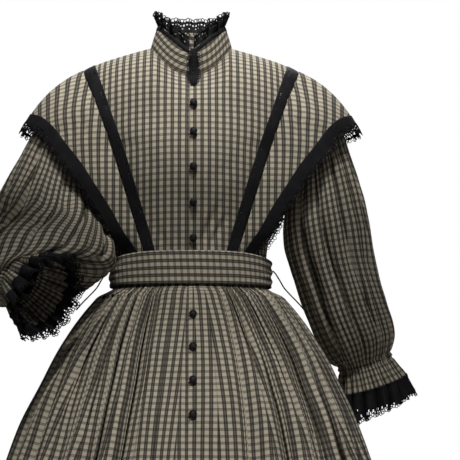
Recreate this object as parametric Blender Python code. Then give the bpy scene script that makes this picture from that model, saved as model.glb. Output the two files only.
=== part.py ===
"""Checked day dress with a gathered skirt, shoulder wings and black lace, filled out as when worn.

Metres. +X is the wearer's left, -Y the front and +Z up. The origin lies on the centre line, at
the height where the shoulders carry the dress. Every cloth piece is a wall about 2 mm thick
between two grids of points, and neighbouring pieces stay a fraction of a millimetre apart.
"""

import math
from collections import namedtuple

import bpy
import numpy as np

FRONT = -1
BACK = 1
LEFT = 1
RIGHT = -1

CLOTH = 0.0020
LACE = 0.0014
BELT = 0.0025
SEAM_GAP = 0.0004
LIE_GAP = 0.0004
ARMHOLE_GAP = 0.0008

WAIST_Z = -0.403
UNDERARM_Z = -0.190
CHEST_Z = -0.130
BODY_SQUARENESS = 2.2
ARMHOLE_REACH = 0.044
SHOULDER_X = 0.205

NECK_X = 0.073
NECK_FRONT_Y = 0.060
NECK_BACK_Y = 0.060
NECK_FRONT_Z = -0.0627
NECK_SIDE_Z = -0.002
NECK_BACK_Z = 0.002

COLLAR_TOP_X = 0.060
COLLAR_TOP_FRONT_Y = 0.064
COLLAR_TOP_BACK_Y = 0.054
COLLAR_TOP_SIDE_Z = 0.039
COLLAR_TOP_FRONT_Z = -0.017
COLLAR_LACE_HEIGHT = 0.026
COLLAR_LACE_LEAN = 0.006
COLLAR_LACE_WAVE = 0.005

FRONT_EDGE_X = -0.004
LAP_INSET = 0.0026
LAP_PLACES = (0.022, 0.0086, -0.0048)
LAP_FOOT_X = -0.0090

BRAID_WIDTH = 0.020
BRAID_WAIST_X = 0.052
BRAID_CHEST_X = 0.138
BRAID_SHOULDER_X = 0.170
BRAID_END_ROW = 1

WING_SEAM_GAP = 0.0006
WING_BULGE_AT_WAIST = 0.07
WING_BULGE_AT_SHOULDER = 0.17
WING_LACE_ON_CLOTH = 0.022
WING_LACE_BEYOND = 0.009

BELT_STAND = 0.0085
BELT_LEAN = 0.0010
BELT_COLUMNS = 56
BELT_FRONT_TOP_Z = -0.374
BELT_SIDE_TOP_Z = -0.385
BELT_FRONT_BOTTOM_Z = -0.431
BELT_SIDE_BOTTOM_Z = -0.4285

SKIRT_COLUMNS = 112
SKIRT_FIRST_COLUMN = 4
SKIRT_FLAT_COLUMNS = 4

SLEEVE_COLUMNS = 36
CASING_HEIGHT = 0.011
FRILL_LENGTH = 0.045
FRILL_SHOWN = 0.037
CUFF_LACE_LENGTH = 0.037
CUFF_RADIUS = (0.0495, 0.043)
FRILL_END_RADIUS = (0.0590, 0.0520)
LACE_END_RADIUS = (0.0640, 0.0570)

BUTTON_RADIUS = 0.0062
BUTTON_DEPTH = 0.0046
BUTTON_X = 0.004
BUTTON_HEIGHTS = (-0.122, -0.174, -0.234, -0.293, -0.352, -0.487, -0.542, -0.597, -0.652)

TIE_THICKNESS = 0.0024

Body = namedtuple("Body", "z half_width front back")
BODY = [
    Body(WAIST_Z, 0.1310, 0.0970, 0.0955),
    Body(-0.386, 0.1315, 0.0980, 0.0962),
    Body(-0.372, 0.1327, 0.1005, 0.0972),
    Body(-0.340, 0.1375, 0.1075, 0.0990),
    Body(-0.300, 0.1460, 0.1170, 0.1020),
    Body(-0.245, 0.1600, 0.1300, 0.1080),
    Body(UNDERARM_Z, 0.1700, 0.1290, 0.1140),
    Body(-0.165, 0.1745, 0.1230, 0.1155),
    Body(CHEST_Z, 0.1790, 0.1130, 0.1160),
]
SHOULDER_TURNS = (25, 50, 72, 90)

Shoulder = namedtuple("Shoulder", "x z")
SHOULDER = [
    Shoulder(NECK_X, NECK_SIDE_Z),
    Shoulder(0.120, -0.015),
    Shoulder(0.170, -0.032),
    Shoulder(0.190, -0.0415),
    Shoulder(SHOULDER_X, -0.0525),
]

BraidPoint = namedtuple("BraidPoint", "z x")
BRAID = [
    BraidPoint(WAIST_Z, BRAID_WAIST_X),
    BraidPoint(-0.345, 0.068),
    BraidPoint(-0.300, 0.082),
    BraidPoint(-0.245, 0.099),
    BraidPoint(UNDERARM_Z, 0.1165),
    BraidPoint(CHEST_Z, BRAID_CHEST_X),
]

# The wing's outer edge, one row for each level of the bodice above the belt.
WingEdge = namedtuple("WingEdge", "x y z")
WING_EDGE = [
    WingEdge(0.1019, 0.0709, -0.3865),
    WingEdge(0.1090, 0.0670, -0.3725),
    WingEdge(0.1345, 0.0810, -0.342),
    WingEdge(0.1570, 0.0890, -0.304),
    WingEdge(0.1890, 0.0920, -0.256),
    WingEdge(0.2163, 0.0870, -0.2187),
    WingEdge(0.2330, 0.0810, -0.197),
    WingEdge(0.2500, 0.0720, -0.174),
    WingEdge(0.2670, 0.0590, -0.157),
    WingEdge(0.2800, 0.0420, -0.144),
    WingEdge(0.2880, 0.0220, -0.136),
    WingEdge(0.2910, 0.0000, -0.132),
]

# gather is the height of the fine gathers at the belt, fold that of the folds they merge into.
Skirt = namedtuple("Skirt", "z half_width front back gather fold")
SKIRT = [
    Skirt(WAIST_Z - SEAM_GAP, 0.1310, 0.0970, 0.0955, 0.0006, 0.0),
    Skirt(-0.433, 0.1355, 0.1015, 0.0998, 0.0013, 0.0),
    Skirt(-0.447, 0.1610, 0.1255, 0.1240, 0.0040, 0.001),
    Skirt(-0.485, 0.1900, 0.1550, 0.1600, 0.0050, 0.004),
    Skirt(-0.550, 0.2320, 0.1950, 0.2060, 0.0030, 0.007),
    Skirt(-0.650, 0.2810, 0.2400, 0.2580, 0.0010, 0.010),
    Skirt(-0.800, 0.3320, 0.2870, 0.3160, 0.0, 0.013),
    Skirt(-1.050, 0.3970, 0.3490, 0.3880, 0.0, 0.016),
    Skirt(-1.410, 0.4740, 0.4220, 0.4660, 0.0, 0.018),
]

# Sections of the sleeves between armhole and casing: where each crosses the outer side, the
# inner side and the front, and the heights of its fine gathers and long folds.
Section = namedtuple("Section", "outer inner front gather fold")
LEFT_SLEEVE = [
    Section((0.237, 0.002, -0.090), (0.1735, 0.000, -0.2005), (0.207, -0.058, -0.142), 0, 0.001),
    Section((0.262, 0.004, -0.139), (0.1760, 0.002, -0.2250), (0.222, -0.060, -0.180), 0, 0.002),
    Section((0.287, 0.008, -0.215), (0.1720, 0.006, -0.2720), (0.230, -0.062, -0.242), 0, 0.004),
    Section((0.309, 0.016, -0.295), (0.1690, 0.012, -0.3350), (0.239, -0.060, -0.314), 0, 0.005),
    Section((0.325, 0.034, -0.378), (0.1830, 0.030, -0.3980), (0.254, -0.043, -0.387), 0, 0.005),
    Section((0.344, 0.058, -0.452), (0.2130, 0.056, -0.4760), (0.280, -0.016, -0.463), 0.001, 0.005),
    Section((0.360, 0.084, -0.501), (0.2440, 0.084, -0.5400), (0.305, 0.022, -0.520), 0.003, 0.003),
]
RIGHT_SLEEVE = [
    Section((-0.240, 0.000, -0.097), (-0.1735, 0.000, -0.2005), (-0.208, -0.058, -0.145), 0, 0.001),
    Section((-0.275, -0.002, -0.152), (-0.1760, -0.002, -0.2260), (-0.226, -0.064, -0.186), 0, 0.002),
    Section((-0.309, -0.008, -0.222), (-0.1710, -0.010, -0.2750), (-0.240, -0.080, -0.246), 0, 0.004),
    Section((-0.343, -0.030, -0.300), (-0.1540, -0.042, -0.3250), (-0.254, -0.124, -0.305), 0, 0.005),
    Section((-0.368, -0.062, -0.375), (-0.1385, -0.104, -0.3630), (-0.283, -0.184, -0.356), 0, 0.005),
    Section((-0.362, -0.085, -0.440), (-0.1500, -0.130, -0.3910), (-0.297, -0.200, -0.392), 0.001, 0.004),
    Section((-0.332, -0.112, -0.464), (-0.2200, -0.150, -0.3900), (-0.310, -0.196, -0.412), 0.003, 0.002),
]

# The lace's end leans off the forearm's line by lace_lean, and hangs lower on its inner side.
Cuff = namedtuple("Cuff", "centre axis outer_hint lace_lean lace_drop")
CUFFS = {
    LEFT: Cuff((0.3145, 0.102, -0.549), (0.290, 0.142, -0.946), (1, 0, 0), (-0.007, 0, 0), 0.020),
    RIGHT: Cuff((-0.285, -0.152, -0.425), (0.68, -0.58, -0.45), (0, 0, -1), (0, 0, 0), 0.0),
}

# The lace fall lies in front of the collar's opening and the top of the bodice.
Fall = namedtuple("Fall", "z y half_width wave")
NECK_FALL = [
    Fall(-0.0150, -0.0676, 0.0050, 0.0),
    Fall(-0.0300, -0.0691, 0.0080, 0.0015),
    Fall(-0.0480, -0.0681, 0.0085, 0.0020),
    Fall(-0.0640, -0.0711, 0.0085, 0.0020),
    Fall(-0.0740, -0.0841, 0.0080, 0.0015),
    Fall(-0.0830, -0.0896, 0.0060, 0.0010),
]

# A tie springs from the belt's end and runs down just clear of the skirt's side.
TIE_ROUTE = [
    (0.1441, -0.004, -0.3990),
    (0.1490, -0.006, -0.4045),
    (0.1560, -0.008, -0.4160),
    (0.1640, -0.010, -0.4300),
    (0.1755, -0.012, -0.4430),
    (0.1880, -0.013, -0.4560),
    (0.1990, -0.014, -0.4690),
]


def curve(places, values, at):
    """The smooth curve through the values at the places, read at the places `at`."""
    places = np.asarray(places, float)
    values = np.asarray(values, float)
    if places[0] > places[-1]:
        places = places[::-1]
        values = values[::-1]
    slopes = np.gradient(values, places)
    low = np.clip(np.searchsorted(places, at, side="right") - 1, 0, len(places) - 2)
    span = places[low + 1] - places[low]
    f = (np.asarray(at, float) - places[low]) / span
    start = (1 + 2 * f) * (1 - f) ** 2 * values[low] + f * (1 - f) ** 2 * span * slopes[low]
    end = f * f * (3 - 2 * f) * values[low + 1] - f * f * (1 - f) * span * slopes[low + 1]
    return start + end


def column_of(table, name):
    return [getattr(row, name) for row in table]


def unit(vectors):
    vectors = np.asarray(vectors, float)
    return vectors / np.linalg.norm(vectors, axis=-1, keepdims=True)


def outward(grid, centre, closed=False):
    """Unit normals of a grid of points, pointing away from a centre inside the garment."""
    along = np.gradient(grid, axis=0)
    if closed:
        across = np.roll(grid, -1, axis=1) - np.roll(grid, 1, axis=1)
    else:
        across = np.gradient(grid, axis=1)
    normals = unit(np.cross(across, along))
    if (normals * (grid - np.asarray(centre))).sum() < 0:
        normals = -normals
    return normals


def flattened(normals):
    """Normals with no part along Y, for the edges that meet at the side and shoulder seams."""
    return unit(normals * np.array([1.0, 0.0, 1.0]))


def cloth_material(name, colour, roughness):
    material = bpy.data.materials.new(name)
    material.use_nodes = True
    shader = material.node_tree.nodes["Principled BSDF"]
    shader.inputs["Base Color"].default_value = (*colour, 1.0)
    shader.inputs["Roughness"].default_value = roughness
    shader.inputs["Metallic"].default_value = 0.0
    material.diffuse_color = (*colour, 1.0)
    return material


def wall(name, outer, inner, material, closed=False):
    """One closed body between two grids of points, each rows x columns x 3."""
    rows, columns = outer.shape[:2]
    points = np.concatenate([outer.reshape(-1, 3), inner.reshape(-1, 3)])
    side = rows * columns
    last_column = columns if closed else columns - 1
    faces = []

    def rim(a, b):
        faces.extend([(b, a, a + side), (b, a + side, b + side)])

    for row in range(rows - 1):
        for column in range(last_column):
            a = row * columns + column
            b = row * columns + (column + 1) % columns
            c = b + columns
            d = a + columns
            if np.linalg.norm(points[a] - points[c]) <= np.linalg.norm(points[b] - points[d]):
                halves = [(a, b, c), (a, c, d)]
            else:
                halves = [(a, b, d), (b, c, d)]
            faces.extend(halves)
            faces.extend([(k + side, i + side, j + side) for i, k, j in halves])
            if row == 0:
                rim(a, b)
            if row == rows - 2:
                rim(c, d)
            if not closed and column == 0:
                rim(d, a)
            if not closed and column == columns - 2:
                rim(b, c)
    corners = points[np.array(faces)]
    if np.linalg.det(corners).sum() < 0:
        faces = [face[::-1] for face in faces]
    return mesh_object(name, points, faces, material)


def mesh_object(name, points, faces, material):
    mesh = bpy.data.meshes.new(name)
    mesh.from_pydata([tuple(point) for point in points], [], faces)
    mesh.update()
    mesh.shade_smooth()
    mesh.set_sharp_from_angle(angle=math.radians(50))
    mesh.materials.append(material)
    thing = bpy.data.objects.new(name, mesh)
    bpy.context.scene.collection.objects.link(thing)
    return thing


# The bodice: v runs from the waist (0) by the chest (1) to the shoulder seam (2).

def level_of(z):
    return (z - WAIST_Z) / (CHEST_Z - WAIST_Z)


LEVELS = [level_of(row.z) for row in BODY] + [1 + turn / 90 for turn in SHOULDER_TURNS]
UNDERARM_ROW = column_of(BODY, "z").index(UNDERARM_Z)


def height_of(v):
    return WAIST_Z + min(v, 1.0) * (CHEST_Z - WAIST_Z)


def turn_of(v):
    return max(v - 1.0, 0.0) * math.pi / 2


def body_half_width(v):
    width = float(curve(column_of(BODY, "z"), column_of(BODY, "half_width"), height_of(v)))
    return width + (SHOULDER_X - width) * (1 - math.cos(turn_of(v)))


def armhole_reach(z):
    """How far the armhole's edge stands forward of the side seam."""
    rise = max(z - UNDERARM_Z, 0.0) / (CHEST_Z - UNDERARM_Z)
    return ARMHOLE_REACH * math.sqrt(rise)


def neck_point(x, face):
    """The neckline over a place x across the body."""
    across = min(abs(x) / NECK_X, 1.0)
    deep = math.sqrt(1 - across * across)
    depth = NECK_FRONT_Y if face == FRONT else NECK_BACK_Y
    low = NECK_FRONT_Z if face == FRONT else NECK_BACK_Z
    return np.array([x, face * depth * deep, low + (NECK_SIDE_Z - low) * across**2])


def top_point(x, face):
    """Where the bodice ends above a place x: on the neckline, or on the shoulder seam."""
    if abs(x) < NECK_X:
        return neck_point(x, face)
    z = float(curve(column_of(SHOULDER, "x"), column_of(SHOULDER, "z"), abs(x)))
    return np.array([x, 0.0, z])


def body_point(v, x, face):
    """A point of the bodice's outer face at level v and place x across the body."""
    z = height_of(v)
    s = x / body_half_width(v)
    chest_width = float(curve(column_of(BODY, "z"), column_of(BODY, "half_width"), z))
    side = "front" if face == FRONT else "back"
    depth = float(curve(column_of(BODY, "z"), column_of(BODY, side), z))
    reach = armhole_reach(z)
    bow = max(1 - abs(s) ** BODY_SQUARENESS, 0.0) ** (1 / BODY_SQUARENESS)
    chest = np.array([chest_width * s, face * (reach + (depth - reach) * bow), z])
    if v <= 1:
        return chest
    turn = turn_of(v)
    end = top_point(SHOULDER_X * s, face)
    across = min(abs(end[0]) / NECK_X, 1.0)
    straight = 1.5 - 0.5 * across**2
    rise = math.sin(turn) ** straight
    fall = max(math.cos(turn), 0.0) ** straight
    return np.array([x, end[1] + (chest[1] - end[1]) * fall, z + (end[2] - z) * rise])


def braid_x(v):
    """The inner edge of the braid."""
    if v <= 1:
        return float(curve(column_of(BRAID, "z"), column_of(BRAID, "x"), height_of(v)))
    return BRAID_CHEST_X + (BRAID_SHOULDER_X - BRAID_CHEST_X) * math.sin(turn_of(v))


# Lanes run up the bodice between the centre and the braid, as (x at the waist, x at the top).
NECK_TURNS = [math.radians(18 * k) for k in range(1, 6)]
LANES = [(0.018 + 0.002 * k, NECK_X * math.sin(turn)) for k, turn in enumerate(NECK_TURNS, 1)]
LANES.append((0.040, 0.120))
LANES.append((BRAID_WAIST_X, BRAID_SHOULDER_X))
BRAID_LANE = len(LANES)
SIDE_LANES = 3


def lane_places(v):
    """The lanes' places across the body at level v, from the centre outwards."""
    inner = braid_x(v)
    progress = (inner - BRAID_WAIST_X) / (BRAID_SHOULDER_X - BRAID_WAIST_X)
    places = [waist + (top - waist) * progress for waist, top in LANES]
    outer = inner + BRAID_WIDTH
    places.append(outer)
    half_width = body_half_width(v)
    start = math.asin((outer / half_width) ** (BODY_SQUARENESS / 2))
    for k in range(1, SIDE_LANES + 1):
        angle = start + (math.pi / 2 - start) * k / SIDE_LANES
        places.append(half_width * math.sin(angle) ** (2 / BODY_SQUARENESS))
    return places


def body_grid(face, columns_at):
    """Outer points and normals over all levels. columns_at gives the signed places at a level."""
    grid = np.array([[body_point(v, x, face) for x in columns_at(v)] for v in LEVELS])
    normals = outward(grid, (0, 0, -0.25))
    return grid, normals


def seal_seams(grid, normals, face, side_columns):
    """Sets the side and shoulder seams back from each other, and squares their edges."""
    for column in side_columns:
        normals[: UNDERARM_ROW + 1, column] = flattened(normals[: UNDERARM_ROW + 1, column])
        grid[: UNDERARM_ROW + 1, column, 1] += face * SEAM_GAP / 2
    shoulder = np.abs(grid[-1, :, 0]) >= NECK_X - 1e-6
    normals[-1, shoulder] = flattened(normals[-1, shoulder])
    grid[-1, shoulder, 1] += face * SEAM_GAP / 2


def front_left_places(v):
    return [FRONT_EDGE_X, -FRONT_EDGE_X] + lane_places(v)


def front_right_places(v):
    return [*LAP_PLACES, LAP_FOOT_X] + [-x for x in lane_places(v)]


def back_places(v):
    places = lane_places(v)
    return [-x for x in places[::-1]] + [0.0] + places


def build_bodice(material):
    grid, normals = body_grid(FRONT, front_left_places)
    seal_seams(grid, normals, FRONT, [-1])
    wall("bodice_front_left", grid, grid - CLOTH * normals, material)

    grid, normals = body_grid(FRONT, front_right_places)
    seal_seams(grid, normals, FRONT, [-1])
    lapped = slice(0, len(LAP_PLACES))
    grid[:, lapped] -= LAP_INSET * normals[:, lapped]
    wall("bodice_front_right", grid, grid - CLOTH * normals, material)

    grid, normals = body_grid(BACK, back_places)
    seal_seams(grid, normals, BACK, [0, -1])
    wall("bodice_back", grid, grid - CLOTH * normals, material)


def over_shoulder(hand, places_at):
    """Points and bodice normals along a strip from front waist over the shoulder to back waist."""
    strips = []
    for face in (FRONT, BACK):
        grid = np.array([[body_point(v, hand * x, face) for x in lane_places(v)] for v in LEVELS])
        normals = outward(grid, (0, 0, -0.25))
        normals[-1, BRAID_LANE - 1:] = flattened(normals[-1, BRAID_LANE - 1:])
        normals[-1, :, 0] = np.abs(normals[-1, :, 0]) * hand
        strip = np.array([[body_point(v, hand * x, face) for x in places_at(v)] for v in LEVELS])
        facing = np.array([
            [normals[row, BRAID_LANE - 1 + k] for k in (0, 1)] for row in range(len(LEVELS))
        ])
        strips.append((strip[BRAID_END_ROW:], facing[BRAID_END_ROW:]))
    (front, front_normals), (back, back_normals) = strips
    top = unit(front_normals[-1] + back_normals[-1])
    grid = np.concatenate([front, back[-2::-1]])
    normals = np.concatenate([front_normals[:-1], top[None], back_normals[-2::-1]])
    return grid, normals


def build_braids(material):
    for hand, name in ((LEFT, "yoke_braid_left"), (RIGHT, "yoke_braid_right")):
        grid, normals = over_shoulder(hand, lambda v: (braid_x(v), braid_x(v) + BRAID_WIDTH))
        inner = grid + LIE_GAP * normals
        wall(name, inner + LACE * normals, inner, material)


def wing_grid(hand):
    """The wing's outer face, its normals, and the columns where its lace band lies."""
    seam, seam_normals = over_shoulder(
        hand, lambda v: (braid_x(v) + BRAID_WIDTH + WING_SEAM_GAP,) * 2
    )
    seam = seam[:, 0]
    seam_normals = seam_normals[:, 1]
    start = seam + (LIE_GAP + CLOTH) * seam_normals
    front = np.array(WING_EDGE) * (hand, FRONT, 1)
    back = np.array(WING_EDGE[-2::-1]) * (hand, BACK, 1)
    end = np.concatenate([front, back])
    reach = np.linalg.norm(end - start, axis=1, keepdims=True)
    levels = np.array(LEVELS[BRAID_END_ROW:] + LEVELS[-2:BRAID_END_ROW - 1:-1])[:, None]
    bulge = WING_BULGE_AT_WAIST + (WING_BULGE_AT_SHOULDER - WING_BULGE_AT_WAIST) * levels / 2
    middle = (start + end) / 2 + bulge * reach * seam_normals
    band = 1 - WING_LACE_ON_CLOTH / reach
    places = [band * k / 3 for k in range(4)] + [np.ones_like(band)]
    columns = [(1 - w) ** 2 * start + 2 * w * (1 - w) * middle + w * w * end for w in places]
    grid = np.stack(columns, axis=1)
    normals = outward(grid, (hand * 0.12, 0, -0.28))
    normals[:, 0] = seam_normals
    return grid, normals


def build_wings(cloth, lace):
    for hand, side in ((LEFT, "left"), (RIGHT, "right")):
        grid, normals = wing_grid(hand)
        wall("wing_" + side, grid, grid - CLOTH * normals, cloth)
        beyond = grid[:, -1] + WING_LACE_BEYOND * unit(grid[:, -1] - grid[:, -2])
        band = np.concatenate([grid[:, -2:], beyond[:, None]], axis=1)
        facing = np.concatenate([normals[:, -2:], normals[:, -1:]], axis=1)
        inner = band + LIE_GAP * facing
        wall("wing_lace_" + side, inner + LACE * facing, inner, lace)


# The collar: turn runs round the neck from the centre front by the wearer's left.

def collar_turns():
    first = math.asin(-FRONT_EDGE_X / NECK_X)
    turns = [math.radians(18 * k) for k in range(1, 20)]
    return [first] + turns + [2 * math.pi - first]


def collar_base(turn):
    face = FRONT if math.cos(turn) > 0 else BACK
    point = neck_point(NECK_X * math.sin(turn), face)
    point[2] += SEAM_GAP
    return point


def collar_top(turn):
    across = math.sin(turn)
    ahead = math.cos(turn)
    if ahead > 0:
        y = -COLLAR_TOP_FRONT_Y * ahead
        rise = COLLAR_TOP_SIDE_Z - COLLAR_TOP_FRONT_Z
        z = COLLAR_TOP_FRONT_Z + rise * abs(across) ** 1.2
    else:
        y = -COLLAR_TOP_BACK_Y * ahead
        z = COLLAR_TOP_SIDE_Z + 0.004 * ahead * ahead
    return np.array([COLLAR_TOP_X * across, y, z])


def collar_grid():
    rows = []
    for height in (0.0, 0.5, 1.0):
        row = [collar_base(t) * (1 - height) + collar_top(t) * height for t in collar_turns()]
        rows.append(row)
    grid = np.array(rows)
    return grid, outward(grid, (0, 0, 0))


def build_collar(cloth, lace):
    grid, normals = collar_grid()
    wall("collar", grid, grid - CLOTH * normals, cloth)

    top = grid[-1] - (CLOTH - LACE) / 2 * normals[-1]
    between = (top[:-1] + top[1:]) / 2
    lean = normals[-1] * (1, 1, 0)
    lean_between = unit(lean[:-1] + lean[1:])
    foot = np.empty((2 * len(top) - 1, 3))
    facing = np.empty_like(foot)
    foot[::2] = top
    foot[1::2] = between
    facing[::2] = unit(lean)
    facing[1::2] = lean_between
    rows = []
    for height in (0.0, 0.45, 1.0):
        wave = np.where(np.arange(len(foot)) % 2, -1.0, 1.0)[:, None] * COLLAR_LACE_WAVE * height
        up = np.array([0, 0, SEAM_GAP + COLLAR_LACE_HEIGHT * height])
        rows.append(foot + up + facing * (COLLAR_LACE_LEAN * height + wave))
    lace_grid = np.array(rows)
    thick = np.repeat(facing[None], len(rows), axis=0) * LACE
    wall("collar_lace", lace_grid, lace_grid - thick, lace)

    ripple = (-1, 1, -1, 1, -1)
    rows = []
    for row in NECK_FALL:
        across = np.linspace(-1, 1, len(ripple)) * row.half_width + BUTTON_X
        rows.append([(x, row.y + row.wave * sign, row.z) for x, sign in zip(across, ripple)])
    fall = np.array(rows)
    wall("neck_lace_fall", fall, fall + (0, LACE, 0), lace)


def armhole_edge(hand):
    """The armhole's outline on the bodice, from the shoulder down the front and up the back."""
    loop = []
    for face in (FRONT, BACK):
        edge = [
            body_point(v, hand * body_half_width(v), face) for v in LEVELS[UNDERARM_ROW:]
        ]
        loop += edge[:0:-1] if face == FRONT else edge[:-1]
    return np.array(loop)


def evenly_along(loop, count):
    """Count places along a closed loop of straight runs, starting at its first point."""
    ends = np.concatenate([loop, loop[:1]])
    runs = np.linalg.norm(np.diff(ends, axis=0), axis=1)
    places = np.concatenate([[0], np.cumsum(runs)])
    at = np.arange(count) / count * places[-1]
    return np.stack([np.interp(at, places, ends[:, k]) for k in range(3)], axis=1)


def ring(outer, inner, front):
    """Points round a section, from its outer side by the front to the inner side and the back."""
    outer, inner, front = (np.asarray(point, float) for point in (outer, inner, front))
    centre = (outer + inner) / 2
    angles = 2 * np.pi * np.arange(SLEEVE_COLUMNS) / SLEEVE_COLUMNS
    return (
        centre
        + np.cos(angles)[:, None] * (outer - centre)
        + np.sin(angles)[:, None] * (front - centre)
    )


def cuff_ring(hand, distance, radius):
    """A ring across the forearm, at a distance along it from the casing's upper edge."""
    cuff = CUFFS[hand]
    axis = unit(cuff.axis)
    hint = np.array(cuff.outer_hint, float)
    outer = unit(hint - axis * (hint @ axis))
    front = np.cross(axis, outer)
    if front[1] > 0:
        front = -front
    centre = np.array(cuff.centre) + axis * distance
    return ring(centre + radius[0] * outer, centre - radius[0] * outer, centre + radius[1] * front)


def sleeve_grid(hand):
    """Outer points and smooth normals of sleeve, frill and lace, with the row where cloth ends."""
    sections = LEFT_SLEEVE if hand == LEFT else RIGHT_SLEEVE
    armhole = evenly_along(armhole_edge(hand), SLEEVE_COLUMNS)
    rings = [armhole + (hand * ARMHOLE_GAP, 0, 0)]
    heights = [(0.0, 0.0)]
    for section in sections:
        rings.append(ring(section.outer, section.inner, section.front))
        heights.append((section.gather, section.fold))
    middle_radius = [(a + b) / 2 for a, b in zip(CUFF_RADIUS, FRILL_END_RADIUS)]
    cuff_rows = [
        (0.0, CUFF_RADIUS, 0.0012, 0.0),
        (CASING_HEIGHT, CUFF_RADIUS, 0.0012, 0.0),
        (CASING_HEIGHT + 0.5 * FRILL_LENGTH, middle_radius, 0.0035, 0.0),
        (CASING_HEIGHT + FRILL_SHOWN, FRILL_END_RADIUS, 0.0040, 0.0),
        (CASING_HEIGHT + FRILL_LENGTH, FRILL_END_RADIUS, 0.0042, 0.0),
        (CASING_HEIGHT + FRILL_SHOWN + CUFF_LACE_LENGTH, LACE_END_RADIUS, 0.0050, 0.0),
    ]
    for distance, radius, gather, fold in cuff_rows:
        rings.append(cuff_ring(hand, distance, radius))
        heights.append((gather, fold))
    angles = 2 * np.pi * np.arange(SLEEVE_COLUMNS) / SLEEVE_COLUMNS
    drop = CUFFS[hand].lace_drop * (1 - np.cos(angles)) / 2
    rings[-1] = rings[-1] + CUFFS[hand].lace_lean + drop[:, None] * unit(CUFFS[hand].axis)
    smooth = np.array(rings)
    middles = smooth.mean(axis=1)
    normals = outward(smooth, middles[:, None], closed=True)
    column = np.arange(SLEEVE_COLUMNS)
    fine = np.where(column % 2, -1.0, 1.0)
    broad = np.cos(np.pi / 2 * column) * (0.8 + 0.3 * np.sin(1.9 * (column // 4)))
    waves = [gather * fine + fold * broad for gather, fold in heights]
    return smooth + normals * np.array(waves)[..., None], normals


def build_sleeves(cloth, lace):
    for hand, side in ((LEFT, "left"), (RIGHT, "right")):
        grid, normals = sleeve_grid(hand)
        cloth_rows = slice(0, len(grid) - 1)
        outer = grid[cloth_rows]
        wall("sleeve_" + side, outer, outer - CLOTH * normals[cloth_rows], cloth, closed=True)
        inner = grid[-3:] + LIE_GAP * normals[-3:]
        wall("cuff_lace_" + side, inner + LACE * normals[-3:], inner, lace, closed=True)


# The skirt and belt: turn runs round the body from the centre front by the wearer's left.

def oval(half_width, front, back, squareness, turn):
    """A point of the rounded section, and nothing of its height."""
    across = math.sin(turn)
    ahead = math.cos(turn)
    power = 2 / squareness
    depth = front if ahead > 0 else back
    x = half_width * math.copysign(abs(across) ** power, across)
    return x, -depth * math.copysign(abs(ahead) ** power, ahead)


def skirt_squareness(z):
    share = min((WAIST_Z - z) / 0.25, 1.0)
    return BODY_SQUARENESS + (2.0 - BODY_SQUARENESS) * max(share, 0.0)


def skirt_ring_point(row, turn):
    x, y = oval(row.half_width, row.front, row.back, skirt_squareness(row.z), turn)
    return x, y, row.z


def turn_at_x(row, x):
    """The turn where a section of the skirt's front passes the place x."""
    power = skirt_squareness(row.z) / 2
    return math.copysign(math.asin((abs(x) / row.half_width) ** power), x)


def skirt_panel(columns):
    """Outer points and normals; a column is a ring index, or ('x', place) near the centre."""
    rows = []
    waves = []
    for row in SKIRT:
        points = []
        heights = []
        for column in columns:
            if isinstance(column, tuple):
                points.append(skirt_ring_point(row, turn_at_x(row, column[1])))
                heights.append(0.0)
                continue
            points.append(skirt_ring_point(row, 2 * math.pi * column / SKIRT_COLUMNS))
            from_front = min(column % SKIRT_COLUMNS, -column % SKIRT_COLUMNS)
            calm = min(max((from_front - SKIRT_FLAT_COLUMNS) / 3, 0.0), 1.0)
            fine = -1.0 if column % 2 else 1.0
            fold_number = column % SKIRT_COLUMNS // 4
            broad = math.cos(math.pi / 2 * column) * (0.85 + 0.25 * math.sin(1.7 * fold_number))
            heights.append(calm * (row.gather * fine + row.fold * broad))
        rows.append(points)
        waves.append(heights)
    grid = np.array(rows)
    normals = outward(grid, (0, 0, -0.9))
    return grid, normals, np.array(waves)[..., None]


def build_skirt(material):
    quarter = SKIRT_COLUMNS // 4
    left = list(range(SKIRT_FIRST_COLUMN, quarter + 1))
    panels = {
        "skirt_front_left": [("x", FRONT_EDGE_X), ("x", LAP_PLACES[0])] + left,
        "skirt_front_right": [("x", x) for x in (*LAP_PLACES, LAP_FOOT_X)]
        + [-column for column in left],
        "skirt_back": list(range(quarter, 3 * quarter + 1)),
    }
    for name, columns in panels.items():
        grid, normals, waves = skirt_panel(columns)
        face = BACK if name == "skirt_back" else FRONT
        seams = [0, -1] if face == BACK else [-1]
        for seam in seams:
            normals[:, seam] = flattened(normals[:, seam])
            grid[:, seam, 1] += face * SEAM_GAP / 2
        grid = grid + waves * normals
        if name == "skirt_front_right":
            lapped = slice(0, len(LAP_PLACES))
            grid[:, lapped] -= LAP_INSET * normals[:, lapped]
        wall(name, grid, grid - CLOTH * normals, material)


def build_belt(material):
    waist = BODY[0]
    rows = []
    turns = np.linspace(math.pi, 3 * math.pi, BELT_COLUMNS + 1)
    for height in (0.0, 0.5, 1.0):
        row = []
        for turn in turns:
            stand = BELT_STAND + BELT_LEAN * height + BELT
            x, y = oval(
                waist.half_width + stand, waist.front + stand, waist.back + stand, BODY_SQUARENESS, turn
            )
            aside = abs(math.sin(turn)) ** 4
            top = BELT_FRONT_TOP_Z + (BELT_SIDE_TOP_Z - BELT_FRONT_TOP_Z) * aside
            bottom = BELT_FRONT_BOTTOM_Z + (BELT_SIDE_BOTTOM_Z - BELT_FRONT_BOTTOM_Z) * aside
            row.append((x, y, bottom + (top - bottom) * height))
        rows.append(row)
    grid = np.array(rows)
    normals = outward(grid, (0, 0, WAIST_Z))
    grid[:, 0, 0] += SEAM_GAP * np.sign(grid[:, 1, 0])
    grid[:, -1, 0] += SEAM_GAP * np.sign(grid[:, -2, 0])
    normals[:, (0, -1)] = (0, 1, 0)
    wall("belt", grid, grid - BELT * normals, material)


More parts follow.
